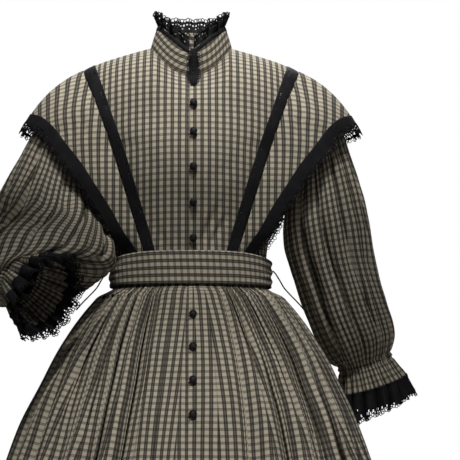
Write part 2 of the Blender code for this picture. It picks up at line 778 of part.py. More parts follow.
def build_ties(material):
    route = np.array(TIE_ROUTE)
    places = np.linspace(0, 1, len(route))
    fine = np.linspace(0, 1, 2 * (len(route) - 1) + 1)
    smooth = np.stack([curve(places, route[:, k], fine) for k in range(3)], axis=1)
    for hand, name in ((LEFT, "tie_left"), (RIGHT, "tie_right")):
        data = bpy.data.curves.new(name, "CURVE")
        data.dimensions = "3D"
        data.bevel_depth = TIE_THICKNESS / 2
        data.bevel_resolution = 2
        data.use_fill_caps = True
        spline = data.splines.new("POLY")
        spline.points.add(len(smooth) - 1)
        for point, place in zip(spline.points, smooth):
            point.co = (hand * place[0], place[1], place[2], 1.0)
        data.materials.append(material)
        tie = bpy.data.objects.new(name, data)
        bpy.context.scene.collection.objects.link(tie)


def front_surface(z):
    """The front's depth and how far it leans, at a height on the centre line."""
    if z > WAIST_Z:
        heights = [body_point(v, BUTTON_X, FRONT)[2] for v in LEVELS]
        depths = [body_point(v, BUTTON_X, FRONT)[1] for v in LEVELS]
    else:
        heights = column_of(SKIRT, "z")[::-1]
        depths = [-depth for depth in column_of(SKIRT, "front")[::-1]]
    y = float(np.interp(z, heights, depths))
    above = float(np.interp(z + 0.006, heights, depths))
    return y, math.atan2(above - y, 0.006)


def build_buttons(material):
    mesh = None
    for number, z in enumerate(BUTTON_HEIGHTS, 1):
        y, lean = front_surface(z)
        if mesh is None:
            bpy.ops.mesh.primitive_uv_sphere_add(segments=8, ring_count=5, radius=1.0)
            button = bpy.context.object
            mesh = button.data
            mesh.materials.append(material)
            mesh.shade_smooth()
        else:
            button = bpy.data.objects.new("button", mesh)
            bpy.context.scene.collection.objects.link(button)
        button.name = f"button_{number}"
        button.rotation_euler = (math.pi / 2 - lean, 0, 0)
        button.scale = (BUTTON_RADIUS, BUTTON_RADIUS, BUTTON_DEPTH)
        stand = BUTTON_DEPTH + LIE_GAP
        button.location = (BUTTON_X, y - stand * math.cos(lean), z + stand * math.sin(lean))


def main():
    for thing in list(bpy.data.objects):
        bpy.data.objects.remove(thing, do_unlink=True)
    check_cloth = cloth_material("check_cloth", (0.30, 0.27, 0.21), 0.85)
    belt_cloth = cloth_material("belt_cloth", (0.22, 0.20, 0.15), 0.85)
    black_lace = cloth_material("black_lace", (0.008, 0.008, 0.010), 0.80)
    button_cloth = cloth_material("button_cloth", (0.010, 0.010, 0.012), 0.60)
    build_bodice(check_cloth)
    build_collar(check_cloth, black_lace)
    build_braids(black_lace)
    build_wings(check_cloth, black_lace)
    build_sleeves(check_cloth, black_lace)
    build_belt(belt_cloth)
    build_ties(button_cloth)
    build_skirt(check_cloth)
    build_buttons(button_cloth)


main()
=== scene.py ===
import math
from collections import namedtuple

import bpy
import numpy as np
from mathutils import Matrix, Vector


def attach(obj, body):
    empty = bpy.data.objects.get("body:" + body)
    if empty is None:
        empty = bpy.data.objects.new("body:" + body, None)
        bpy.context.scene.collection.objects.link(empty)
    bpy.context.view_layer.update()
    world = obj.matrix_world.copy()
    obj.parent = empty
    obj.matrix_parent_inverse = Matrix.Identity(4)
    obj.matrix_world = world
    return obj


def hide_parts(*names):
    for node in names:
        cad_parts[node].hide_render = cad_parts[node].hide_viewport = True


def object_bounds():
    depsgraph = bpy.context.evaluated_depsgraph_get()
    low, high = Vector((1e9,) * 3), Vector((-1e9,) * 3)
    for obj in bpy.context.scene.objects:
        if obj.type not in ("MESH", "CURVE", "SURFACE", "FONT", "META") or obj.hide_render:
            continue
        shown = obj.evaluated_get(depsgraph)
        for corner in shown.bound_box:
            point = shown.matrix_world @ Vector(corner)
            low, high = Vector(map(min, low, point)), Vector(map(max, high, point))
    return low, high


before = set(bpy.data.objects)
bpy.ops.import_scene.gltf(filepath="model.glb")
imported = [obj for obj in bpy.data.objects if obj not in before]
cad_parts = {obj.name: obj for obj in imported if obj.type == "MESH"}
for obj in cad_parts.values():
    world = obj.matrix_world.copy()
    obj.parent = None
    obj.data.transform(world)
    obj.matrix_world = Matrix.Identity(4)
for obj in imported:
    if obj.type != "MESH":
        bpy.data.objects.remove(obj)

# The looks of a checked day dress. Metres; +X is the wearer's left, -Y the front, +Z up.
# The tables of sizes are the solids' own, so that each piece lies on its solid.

CAD_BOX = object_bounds()

FRONT = -1
BACK = 1
LEFT = 1
RIGHT = -1
SIDES = ((LEFT, "left"), (RIGHT, "right"))

SHELL = 0.0006
LACE_THREAD = 0.0006
LOOP_THREAD = 0.0011
THREAD_ROUNDING = 0.55
LACE_LIFT = 0.0011

WAIST_Z = -0.403
UNDERARM_Z = -0.190
CHEST_Z = -0.130
BODY_SQUARENESS = 2.2
ARMHOLE_REACH = 0.044
SHOULDER_X = 0.205

NECK_X = 0.073
NECK_DEPTH = 0.060
NECK_FRONT_Z = -0.0627
NECK_SIDE_Z = -0.002
NECK_BACK_Z = 0.002

COLLAR_TOP_X = 0.060
COLLAR_TOP_FRONT_Y = 0.064
COLLAR_TOP_BACK_Y = 0.054
COLLAR_TOP_SIDE_Z = 0.039
COLLAR_TOP_FRONT_Z = -0.017
COLLAR_LACE_HEIGHT = 0.026
COLLAR_LACE_LEAN = 0.006
COLLAR_LACE_WAVE = 0.005
COLLAR_LACE_WAVES = 19

FRONT_EDGE_X = -0.004
LAP_INSET = 0.0026
LAP_UNDER_X = 0.022
LAP_FOOT_X = -0.0090
LAP_FULL_X = -0.0048

BRAID_WIDTH = 0.020
BRAID_WAIST_X = 0.052
BRAID_CHEST_X = 0.138
BRAID_SHOULDER_X = 0.170
BRAID_LIFT = 0.0010
BRAID_COLUMNS = 13
BRAID_EASE = 11
BRAID_SCALLOP = 0.0018
BRAID_SCALLOP_PITCH = 0.023
BRAID_RIB = 0.00035
BRAID_RIB_PITCH = 0.0021

WING_SEAM_GAP = 0.0006
WING_LIFT = 0.0024
WING_BULGE_AT_WAIST = 0.07
WING_BULGE_AT_SHOULDER = 0.17
WING_LACE_ON_CLOTH = 0.022
WING_LACE_BEYOND = 0.009
WING_COLUMNS = 26
WING_SCALLOP_PITCH = 0.0135
WING_HOLE_PITCH = 0.0052

BELT_STAND = 0.0110
BELT_LEAN = 0.0010
BELT_FRONT_TOP_Z = -0.374
BELT_SIDE_TOP_Z = -0.385
BELT_FRONT_BOTTOM_Z = -0.431
BELT_SIDE_BOTTOM_Z = -0.4285

SKIRT_COLUMNS = 112
SKIRT_FLAT_COLUMNS = 4
GATHERS = SKIRT_COLUMNS // 2
SKIRT_CLOTH_WIDTH = 3.00

SLEEVE_COLUMNS = 36
CASING_HEIGHT = 0.011
FRILL_LENGTH = 0.045
FRILL_SHOWN = 0.037
CUFF_LACE_LENGTH = 0.037
CUFF_RADIUS = (0.0495, 0.043)
FRILL_END_RADIUS = (0.0590, 0.0520)
LACE_END_RADIUS = (0.0640, 0.0570)

BUTTON_RADIUS = 0.0062
BUTTON_DEPTH = 0.0046
BUTTON_X = 0.004
BUTTON_SEAT = 0.0002
BUTTON_HEIGHTS = (-0.122, -0.174, -0.234, -0.293, -0.352, -0.487, -0.542, -0.597, -0.652)

TIE_THICKNESS = 0.0024

Body = namedtuple("Body", "z half_width front back")
BODY = [
    Body(WAIST_Z, 0.1310, 0.0970, 0.0955),
    Body(-0.386, 0.1315, 0.0980, 0.0962),
    Body(-0.372, 0.1327, 0.1005, 0.0972),
    Body(-0.340, 0.1375, 0.1075, 0.0990),
    Body(-0.300, 0.1460, 0.1170, 0.1020),
    Body(-0.245, 0.1600, 0.1300, 0.1080),
    Body(UNDERARM_Z, 0.1700, 0.1290, 0.1140),
    Body(-0.165, 0.1745, 0.1230, 0.1155),
    Body(CHEST_Z, 0.1790, 0.1130, 0.1160),
]
SHOULDER_TURNS = (25, 50, 72, 90)

Shoulder = namedtuple("Shoulder", "x z")
SHOULDER = [
    Shoulder(NECK_X, NECK_SIDE_Z),
    Shoulder(0.120, -0.015),
    Shoulder(0.170, -0.032),
    Shoulder(0.190, -0.0415),
    Shoulder(SHOULDER_X, -0.0525),
]

BraidPoint = namedtuple("BraidPoint", "z x")
BRAID = [
    BraidPoint(WAIST_Z, BRAID_WAIST_X),
    BraidPoint(-0.345, 0.068),
    BraidPoint(-0.300, 0.082),
    BraidPoint(-0.245, 0.099),
    BraidPoint(UNDERARM_Z, 0.1165),
    BraidPoint(CHEST_Z, BRAID_CHEST_X),
]

# The wing's outer edge, one row for each level of the bodice above the belt.
WingEdge = namedtuple("WingEdge", "x y z")
WING_EDGE = [
    WingEdge(0.1019, 0.0709, -0.3865),
    WingEdge(0.1090, 0.0670, -0.3725),
    WingEdge(0.1345, 0.0810, -0.342),
    WingEdge(0.1570, 0.0890, -0.304),
    WingEdge(0.1890, 0.0920, -0.256),
    WingEdge(0.2163, 0.0870, -0.2187),
    WingEdge(0.2330, 0.0810, -0.197),
    WingEdge(0.2500, 0.0720, -0.174),
    WingEdge(0.2670, 0.0590, -0.157),
    WingEdge(0.2800, 0.0420, -0.144),
    WingEdge(0.2880, 0.0220, -0.136),
    WingEdge(0.2910, 0.0000, -0.132),
]

# gather is the height of the fine gathers at the belt, fold that of the folds they merge into.
Skirt = namedtuple("Skirt", "z half_width front back gather fold")
SKIRT = [
    Skirt(WAIST_Z, 0.1310, 0.0970, 0.0955, 0.0006, 0.0),
    Skirt(-0.433, 0.1355, 0.1015, 0.0998, 0.0013, 0.0),
    Skirt(-0.447, 0.1610, 0.1255, 0.1240, 0.0040, 0.001),
    Skirt(-0.485, 0.1900, 0.1550, 0.1600, 0.0050, 0.004),
    Skirt(-0.550, 0.2320, 0.1950, 0.2060, 0.0030, 0.007),
    Skirt(-0.650, 0.2810, 0.2400, 0.2580, 0.0010, 0.010),
    Skirt(-0.800, 0.3320, 0.2870, 0.3160, 0.0, 0.013),
    Skirt(-1.050, 0.3970, 0.3490, 0.3880, 0.0, 0.016),
    Skirt(-1.410, 0.4740, 0.4220, 0.4660, 0.0, 0.018),
]

Section = namedtuple("Section", "outer inner front gather fold")
LEFT_SLEEVE = [
    Section((0.237, 0.002, -0.090), (0.1735, 0.000, -0.2005), (0.207, -0.058, -0.142), 0, 0.001),
    Section((0.262, 0.004, -0.139), (0.1760, 0.002, -0.2250), (0.222, -0.060, -0.180), 0, 0.002),
    Section((0.287, 0.008, -0.215), (0.1720, 0.006, -0.2720), (0.230, -0.062, -0.242), 0, 0.004),
    Section((0.309, 0.016, -0.295), (0.1690, 0.012, -0.3350), (0.239, -0.060, -0.314), 0, 0.005),
    Section((0.325, 0.034, -0.378), (0.1830, 0.030, -0.3980), (0.254, -0.043, -0.387), 0, 0.005),
    Section((0.344, 0.058, -0.452), (0.2130, 0.056, -0.4760), (0.280, -0.016, -0.463), 0.001, 0.005),
    Section((0.360, 0.084, -0.501), (0.2440, 0.084, -0.5400), (0.305, 0.022, -0.520), 0.003, 0.003),
]
RIGHT_SLEEVE = [
    Section((-0.240, 0.000, -0.097), (-0.1735, 0.000, -0.2005), (-0.208, -0.058, -0.145), 0, 0.001),
    Section((-0.275, -0.002, -0.152), (-0.1760, -0.002, -0.2260), (-0.226, -0.064, -0.186), 0, 0.002),
    Section((-0.309, -0.008, -0.222), (-0.1710, -0.010, -0.2750), (-0.240, -0.080, -0.246), 0, 0.004),
    Section((-0.343, -0.030, -0.300), (-0.1540, -0.042, -0.3250), (-0.254, -0.124, -0.305), 0, 0.005),
    Section((-0.368, -0.062, -0.375), (-0.1385, -0.104, -0.3630), (-0.283, -0.184, -0.356), 0, 0.005),
    Section((-0.362, -0.085, -0.440), (-0.1500, -0.130, -0.3910), (-0.297, -0.200, -0.392), 0.001, 0.004),
    Section((-0.332, -0.112, -0.464), (-0.2200, -0.150, -0.3900), (-0.310, -0.196, -0.412), 0.003, 0.002),
]

# The lace's end leans off the forearm's line by lace_lean, and hangs lower on its inner side.
Cuff = namedtuple("Cuff", "centre axis outer_hint lace_lean lace_drop")
CUFFS = {
    LEFT: Cuff((0.3145, 0.102, -0.549), (0.290, 0.142, -0.946), (1, 0, 0), (-0.007, 0, 0), 0.020),
    RIGHT: Cuff((-0.285, -0.152, -0.425), (0.68, -0.58, -0.45), (0, 0, -1), (0, 0, 0), 0.0),
}

Fall = namedtuple("Fall", "z y half_width wave")
NECK_FALL = [
    Fall(-0.0150, -0.0676, 0.0050, 0.0),
    Fall(-0.0300, -0.0691, 0.0080, 0.0015),
    Fall(-0.0480, -0.0681, 0.0085, 0.0020),
    Fall(-0.0640, -0.0711, 0.0085, 0.0020),
    Fall(-0.0740, -0.0841, 0.0068, 0.0018),
    Fall(-0.0830, -0.0896, 0.0038, 0.0012),
]

TIE_ROUTE = [
    (0.1441, -0.004, -0.3990),
    (0.1490, -0.006, -0.4045),
    (0.1560, -0.008, -0.4160),
    (0.1640, -0.010, -0.4300),
    (0.1755, -0.012, -0.4430),
    (0.1880, -0.013, -0.4560),
    (0.1990, -0.014, -0.4690),
]

# A crease is a soft trough between two points; a negative depth makes it a ridge.
Crease = namedtuple("Crease", "start end width depth")
FRONT_CREASES = [
    Crease((0.014, -0.10, -0.372), (0.046, -0.11, -0.296), 0.007, 0.0062),
    Crease((0.030, -0.10, -0.372), (0.064, -0.11, -0.312), 0.006, 0.0050),
    Crease((0.008, -0.10, -0.372), (0.016, -0.12, -0.315), 0.005, 0.0020),
    Crease((-0.024, -0.10, -0.372), (-0.036, -0.12, -0.312), 0.006, 0.0022),
    Crease((-0.040, -0.10, -0.372), (-0.064, -0.11, -0.325), 0.006, 0.0022),
    Crease((0.030, -0.13, -0.262), (0.090, -0.12, -0.214), 0.012, 0.0016),
    Crease((-0.034, -0.13, -0.262), (-0.094, -0.12, -0.206), 0.012, 0.0014),
    Crease((0.082, -0.09, -0.360), (0.124, -0.07, -0.270), 0.007, 0.0026),
    Crease((-0.084, -0.09, -0.360), (-0.126, -0.07, -0.262), 0.007, 0.0026),
]
BACK_CREASES = [
    Crease((0.018, 0.10, -0.372), (0.030, 0.11, -0.290), 0.007, 0.0026),
    Crease((-0.022, 0.10, -0.372), (-0.030, 0.11, -0.300), 0.007, 0.0026),
    Crease((0.044, 0.10, -0.372), (0.070, 0.11, -0.310), 0.006, 0.0022),
    Crease((-0.040, 0.10, -0.372), (-0.072, 0.11, -0.304), 0.006, 0.0022),
    Crease((0.040, 0.12, -0.190), (0.110, 0.09, -0.150), 0.012, 0.0014),
    Crease((-0.040, 0.12, -0.184), (-0.110, 0.09, -0.150), 0.012, 0.0014),
]
WING_CREASES = [
    Crease((0.200, -0.04, -0.070), (0.176, -0.12, -0.225), 0.007, 0.0040),
    Crease((0.222, -0.04, -0.080), (0.192, -0.11, -0.215), 0.006, 0.0036),
    Crease((0.244, -0.03, -0.100), (0.212, -0.10, -0.195), 0.006, 0.0030),
    Crease((0.222, 0.03, -0.070), (0.210, 0.10, -0.190), 0.007, 0.0022),
    Crease((0.190, 0.03, -0.055), (0.186, 0.12, -0.210), 0.007, 0.0022),
]
LEFT_SLEEVE_CREASES = [
    Crease((0.208, -0.060, -0.160), (0.262, -0.030, -0.450), 0.010, 0.0150),
    Crease((0.226, -0.060, -0.165), (0.290, -0.010, -0.480), 0.009, 0.0120),
    Crease((0.246, -0.050, -0.160), (0.318, 0.000, -0.440), 0.009, 0.0110),
    Crease((0.268, -0.030, -0.190), (0.345, 0.040, -0.480), 0.008, 0.0100),
    Crease((0.190, -0.050, -0.210), (0.226, -0.020, -0.450), 0.010, 0.0130),
    Crease((0.250, -0.040, -0.360), (0.330, 0.000, -0.390), 0.010, 0.0030),
    Crease((0.230, 0.060, -0.220), (0.270, 0.100, -0.440), 0.010, 0.0060),
    Crease((0.270, 0.070, -0.240), (0.330, 0.120, -0.470), 0.010, 0.0060),
]
RIGHT_SLEEVE_CREASES = [
    Crease((-0.262, -0.060, -0.140), (-0.330, -0.120, -0.320), 0.009, 0.0130),
    Crease((-0.244, -0.070, -0.150), (-0.290, -0.130, -0.310), 0.009, 0.0130),
    Crease((-0.226, -0.070, -0.180), (-0.252, -0.130, -0.310), 0.010, 0.0140),
    Crease((-0.204, -0.070, -0.210), (-0.215, -0.120, -0.330), 0.010, 0.0120),
    Crease((-0.288, -0.050, -0.160), (-0.352, -0.080, -0.340), 0.009, 0.0110),
    Crease((-0.278, -0.150, -0.318), (-0.330, -0.140, -0.330), 0.009, 0.0070),
    Crease((-0.268, -0.160, -0.326), (-0.235, -0.150, -0.352), 0.010, 0.0050),
    Crease((-0.300, -0.110, -0.260), (-0.345, -0.100, -0.340), 0.009, 0.0060),
    Crease((-0.262, -0.120, -0.276), (-0.290, -0.160, -0.330), 0.007, -0.0040),
    Crease((-0.250, 0.060, -0.220), (-0.300, 0.040, -0.360), 0.010, 0.0060),
    Crease((-0.280, 0.050, -0.200), (-0.350, 0.000, -0.340), 0.010, 0.0060),
]


def curve(places, values, at):
    """The smooth curve through the values at rising places, read at the places `at`."""
    places = np.asarray(places, float)
    values = np.asarray(values, float)
    at = np.asarray(at, float)
    slopes = np.gradient(values, places, axis=0)
    low = np.clip(np.searchsorted(places, at, side="right") - 1, 0, len(places) - 2)
    span = places[low + 1] - places[low]
    f = (at - places[low]) / span
    if values.ndim > 1:
        f = f.reshape(f.shape + (1,) * (values.ndim - 1))
        span = span.reshape(f.shape)
    start = (1 + 2 * f) * (1 - f) ** 2 * values[low] + f * (1 - f) ** 2 * span * slopes[low]
    end = f * f * (3 - 2 * f) * values[low + 1] - f * f * (1 - f) * span * slopes[low + 1]
    return start + end


def share_between(value, start, end):
    """0 up to the start and 1 from the end on, even between them."""
    return np.clip((value - start) / (end - start), 0, 1)


def eased(share):
    """A share from 0 to 1 with a soft start and end."""
    return share * share * (3 - 2 * share)


def read_line(at, lengths, points):
    """Points of a line, read at lengths along it."""
    return np.stack([np.interp(at, lengths, points[:, k]) for k in range(3)], axis=1)


def there_and_back(values):
    """Values up the front to the shoulder, and the same down the back."""
    return np.concatenate([values, values[-2::-1]])


def column_of(table, name):
    return [getattr(row, name) for row in table]


def unit(vectors):
    vectors = np.asarray(vectors, float)
    return vectors / np.maximum(np.linalg.norm(vectors, axis=-1, keepdims=True), 1e-12)


def outward(grid, centre, closed=False):
    """Unit normals of a grid of points, pointing away from a centre inside the garment."""
    along = np.gradient(grid, axis=0)
    if closed:
        across = np.roll(grid, -1, axis=1) - np.roll(grid, 1, axis=1)
    else:
        across = np.gradient(grid, axis=1)
    normals = unit(np.cross(across, along))
    if (normals * (grid - np.asarray(centre))).sum() < 0:
        normals = -normals
    return normals


def arc_lengths(grid, axis):
    """Distance along each line of a grid from its first point."""
    steps = np.linalg.norm(np.diff(grid, axis=axis), axis=2)
    start = np.zeros((1, grid.shape[1])) if axis == 0 else np.zeros((grid.shape[0], 1))
    return np.concatenate([start, np.cumsum(steps, axis=axis)], axis=axis)


def creased(grid, normals, creases, mirror=1):
    """Presses each crease into the grid, deepest in its middle and fading towards its ends."""
    moved = grid.copy()
    for crease in creases:
        start = np.array(crease.start) * (mirror, 1, 1)
        line = np.array(crease.end) * (mirror, 1, 1) - start
        along = np.clip(((grid - start) @ line) / (line @ line), 0, 1)
        gap = np.linalg.norm(grid - start - along[..., None] * line, axis=2)
        nearest = gap.min(axis=1 if gap.shape[1] > gap.shape[0] else 0)
        reach = gap - min(nearest.min(), 0.03)
        shape = np.exp(-((reach / crease.width) ** 2)) * np.sin(np.pi * np.clip(along, 0.04, 0.96)) ** 0.6
        moved -= normals * (crease.depth * shape)[..., None]
    return moved


def uneven(u, v, scale, seed):
    """A smooth wandering value between about -1 and 1 over two coordinates in metres."""
    total = np.zeros(np.broadcast(u, v).shape)
    for k in range(1, 5):
        a = 1.7 * k + seed
        total = total + np.sin(u / scale * k * math.cos(a) + v / scale * k * math.sin(a) + 2.3 * a) / k
    return total / 1.6


# Meshes

def finish_piece(thing, nodes):
    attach(thing, "root")
    if nodes:
        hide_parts(*nodes)


def apply_modifier(thing, kind, **settings):
    modifier = thing.modifiers.new(kind.title(), kind)
    for name, value in settings.items():
        setattr(modifier, name, value)
    bpy.ops.object.select_all(action="DESELECT")
    bpy.context.view_layer.objects.active = thing
    thing.select_set(True)
    bpy.ops.object.modifier_apply(modifier=modifier.name)


def new_mesh(name, points, faces, material, uv=None):
    mesh = bpy.data.meshes.new(name)
    mesh.from_pydata(points.tolist(), [], faces.tolist())
    if uv is not None:
        layer = mesh.uv_layers.new(name="Cloth")
        loops = np.empty(len(mesh.loops), np.int32)
        mesh.loops.foreach_get("vertex_index", loops)
        layer.data.foreach_set("uv", uv.astype(np.float32)[loops].ravel())
    mesh.update()
    mesh.shade_smooth()
    mesh.materials.append(material)
    thing = bpy.data.objects.new(name, mesh)
    bpy.context.scene.collection.objects.link(thing)
    return thing


def grid_faces(points, normals_out, keep=None):
    """Quads over a grid of points, turned outwards. keep is a mask of the cells that are there."""
    rows, columns = points.shape[:2]
    r, c = np.meshgrid(np.arange(rows - 1), np.arange(columns - 1), indexing="ij")
    if keep is not None:
        r, c = r[keep], c[keep]
    a = (r * columns + c).ravel()
    faces = np.stack([a, a + 1, a + 1 + columns, a + columns], axis=1)
    flat = points.reshape(-1, 3)
    turn = np.cross(flat[faces[:, 1]] - flat[faces[:, 0]], flat[faces[:, 3]] - flat[faces[:, 0]])
    if (turn * normals_out.reshape(-1, 3)[faces[:, 0]]).sum() < 0:
        faces = faces[:, ::-1]
    return faces


def cloth_piece(name, node, grid, normals, u, v, closed=False, thickness=SHELL):
    """A piece of the check: a thin shell with its outer face on the grid.

    u and v are the places in the cloth, across the warp stripes and along them. A closed grid
    has one column more there than in its points.
    """
    if closed:
        grid = np.concatenate([grid, grid[:, :1]], axis=1)
        normals = np.concatenate([normals, normals[:, :1]], axis=1)
    uv = np.stack(np.broadcast_arrays(u, v), axis=-1).reshape(-1, 2)
    piece = new_mesh(name, grid.reshape(-1, 3), grid_faces(grid, normals), CHECK, uv)
    if closed:
        apply_modifier(piece, "WELD", merge_threshold=1e-6)
    apply_modifier(piece, "SOLIDIFY", thickness=thickness, offset=-1.0)
    finish_piece(piece, [node])
    return piece


def openwork(name, grid, normals, hole, material, thickness):
    """Lace or braid: a grid without the cells under a pattern of holes, its threads rounded off."""
    u = arc_lengths(grid, 1)
    v = arc_lengths(grid, 0)
    keep = ~hole((u[:, 1:] + u[:, :-1])[:-1] / 2, (v[1:] + v[:-1])[:, :-1] / 2)
    faces = grid_faces(grid, normals, keep)
    used, index = np.unique(faces, return_inverse=True)
    faces = index.reshape(faces.shape)
    points = grid.reshape(-1, 3)[used]
    ends = np.concatenate([faces[:, [0, 1]], faces[:, [1, 2]], faces[:, [2, 3]], faces[:, [3, 0]]])
    ends = np.concatenate([ends, ends[:, ::-1]])
    total = np.zeros_like(points)
    count = np.zeros(len(points))
    np.add.at(total, ends[:, 0], points[ends[:, 1]])
    np.add.at(count, ends[:, 0], 1)
    points = (1 - THREAD_ROUNDING) * points + THREAD_ROUNDING * total / count[:, None]
    thing = new_mesh(name, points, faces, material)
    apply_modifier(thing, "SOLIDIFY", thickness=thickness, offset=0.0)
    return thing


def hole_row(across, at, half_across, along, pitch, half_along, shift=0.0):
    """A row of oval holes, one in each repeat of the pitch along the lace."""
    from_middle = ((along / pitch + shift) % 1 - 0.5) * pitch
    return ((across - at) / half_across) ** 2 + (from_middle / half_along) ** 2 < 1


def lace_piece(name, node, grid, normals, hole, edges):
    """A piece of black lace with thread loops along its edges, each given as picots takes it."""
    lace = openwork(name, grid, normals, hole, LACE, LACE_THREAD)
    join(lace, [picots(f"{name}_loops_{k}", *edge) for k, edge in enumerate(edges)])
    finish_piece(lace, [node])
    return lace


def tube_rings(centres, axes_a, axes_b, radius, sides, closed):
    """Points and quads of tubes along many paths: centres is paths x steps x 3."""
    paths, steps = centres.shape[:2]
    angles = 2 * np.pi * np.arange(sides) / sides
    round_about = (
        axes_a[:, :, None] * np.cos(angles)[:, None] + axes_b[:, :, None] * np.sin(angles)[:, None]
    )
    points = centres[:, :, None] + radius * round_about
    p, s, k = np.meshgrid(
        np.arange(paths), np.arange(steps if closed else steps - 1), np.arange(sides), indexing="ij"
    )
    t = (s + 1) % steps
    m = (k + 1) % sides

    def at(step, side):
        return (p * steps + step) * sides + side

    faces = np.stack([at(s, k), at(s, m), at(t, m), at(t, k)], axis=-1).reshape(-1, 4)
    return points.reshape(-1, 3), faces


def picots(name, edge, beyond, normals, pitch, size, thickness=LOOP_THREAD):
    """A row of thread loops along an edge. beyond points off the edge, in the lace's plane."""
    lengths = np.concatenate([[0], np.cumsum(np.linalg.norm(np.diff(edge, axis=0), axis=1))])
    count = max(int(lengths[-1] / pitch), 2)
    at = (np.arange(count) + 0.5) / count * lengths[-1]
    centre = read_line(at, lengths, edge)
    out = unit(read_line(at, lengths, beyond))
    facing = unit(read_line(at, lengths, normals))
    side = unit(np.cross(facing, out))
    steps = 12
    turns = 2 * np.pi * np.arange(steps) / steps
    number = np.arange(count)
    reach = size * (0.52 + 0.05 * np.sin(2.1 * number))[:, None, None]
    tilt = 0.25 * np.sin(1.3 * number)[:, None, None]
    radial = (
        out[:, None] * np.cos(turns)[:, None] + side[:, None] * np.sin(turns)[:, None]
        + facing[:, None] * tilt * np.cos(turns)[:, None]
    )
    centres = centre[:, None] + out[:, None] * size * 0.30 + radial * reach
    across = np.repeat(facing[:, None], steps, axis=1)
    points, faces = tube_rings(centres, unit(radial), across, thickness / 2, 5, True)
    return new_mesh(name, points, faces, LACE)


def join(first, others):
    bpy.ops.object.select_all(action="DESELECT")
    for thing in [*others, first]:
        thing.select_set(True)
    bpy.context.view_layer.objects.active = first
    bpy.ops.object.join()


# Materials

class Nodes:
    """Adds nodes to one material with short calls."""

    def __init__(self, name, roughness):
        self.material = bpy.data.materials.new(name)
        self.material.use_nodes = True
        self.tree = self.material.node_tree
        self.shader = self.tree.nodes["Principled BSDF"]
        self.shader.inputs["Roughness"].default_value = roughness
        self.shader.inputs["Specular IOR Level"].default_value = 0.18

    def add(self, kind, **settings):
        node = self.tree.nodes.new(kind)
        for name, value in settings.items():
            setattr(node, name, value)
        return node

    def link(self, source, target):
        if isinstance(source, (int, float)):
            target.default_value = source
        elif isinstance(source, tuple):
            target.default_value = (*source, 1.0)
        else:
            self.tree.links.new(source, target)

    def place(self):
        return self.add("ShaderNodeTexCoord").outputs["Object"]

    def maths(self, operation, a, b=0.0, c=None):
        node = self.add("ShaderNodeMath", operation=operation)
        self.link(a, node.inputs[0])
        self.link(b, node.inputs[1])
        if c is not None:
            self.link(c, node.inputs[2])
        return node.outputs[0]

    def mix(self, share, a, b, blend="MIX"):
        node = self.add("ShaderNodeMix", data_type="RGBA", blend_type=blend)
        self.link(share, node.inputs["Factor"])
        self.link(a, node.inputs["A"])
        self.link(b, node.inputs["B"])
        return node.outputs["Result"]

    def noise(self, vector, scale, detail=2.0):
        node = self.add("ShaderNodeTexNoise")
        node.inputs["Scale"].default_value = scale
        node.inputs["Detail"].default_value = detail
        self.link(vector, node.inputs["Vector"])
        return node.outputs["Fac"]

    def scaled(self, vector, factors):
        node = self.add("ShaderNodeMapping")
        node.inputs["Scale"].default_value = factors
        self.link(vector, node.inputs["Vector"])
        return node.outputs["Vector"]

    def ramp(self, value, low, high, to_low=0.0, to_high=1.0):
        node = self.add("ShaderNodeMapRange", interpolation_type="SMOOTHSTEP")
        self.link(value, node.inputs["Value"])
        limits = {"From Min": low, "From Max": high, "To Min": to_low, "To Max": to_high}
        for name, number in limits.items():
            node.inputs[name].default_value = number
        return node.outputs["Result"]

    def bump(self, height, strength, distance):
        node = self.add("ShaderNodeBump")
        node.inputs["Strength"].default_value = strength
        node.inputs["Distance"].default_value = distance
        self.link(height, node.inputs["Height"])
        self.link(node.outputs["Normal"], self.shader.inputs["Normal"])


LIGHT_YARN = (0.560, 0.500, 0.385)
GREY_YARN = (0.350, 0.320, 0.258)
DARK_YARN = (0.014, 0.012, 0.012)
WARP_PERIOD = 0.0124
WEFT_PERIOD = 0.0112
WARP_STRIPE = 0.0060
WEFT_STRIPE = 0.0046
WARP_COVER = 0.86
WEFT_COVER = 0.58
STRIPE_MIDDLE_LINE = 0.0008
STRIPE_SOFTNESS = 0.00035
YARN_PITCH = 0.00085


def stripe(nodes, place, period, width):
    """1 on a dark double stripe that repeats along a place, with a paler line down its middle."""
    turn = nodes.maths("FRACT", nodes.maths("DIVIDE", place, period))
    off = nodes.maths("MULTIPLY", nodes.maths("ABSOLUTE", nodes.maths("SUBTRACT", turn, 0.5)), period)
    edge = STRIPE_SOFTNESS
    body = nodes.ramp(off, width / 2 - edge, width / 2 + edge, 1.0, 0.0)
    line = nodes.ramp(off, STRIPE_MIDDLE_LINE / 2 - edge, STRIPE_MIDDLE_LINE / 2 + edge, 0.62, 1.0)
    return nodes.maths("MULTIPLY", body, line)


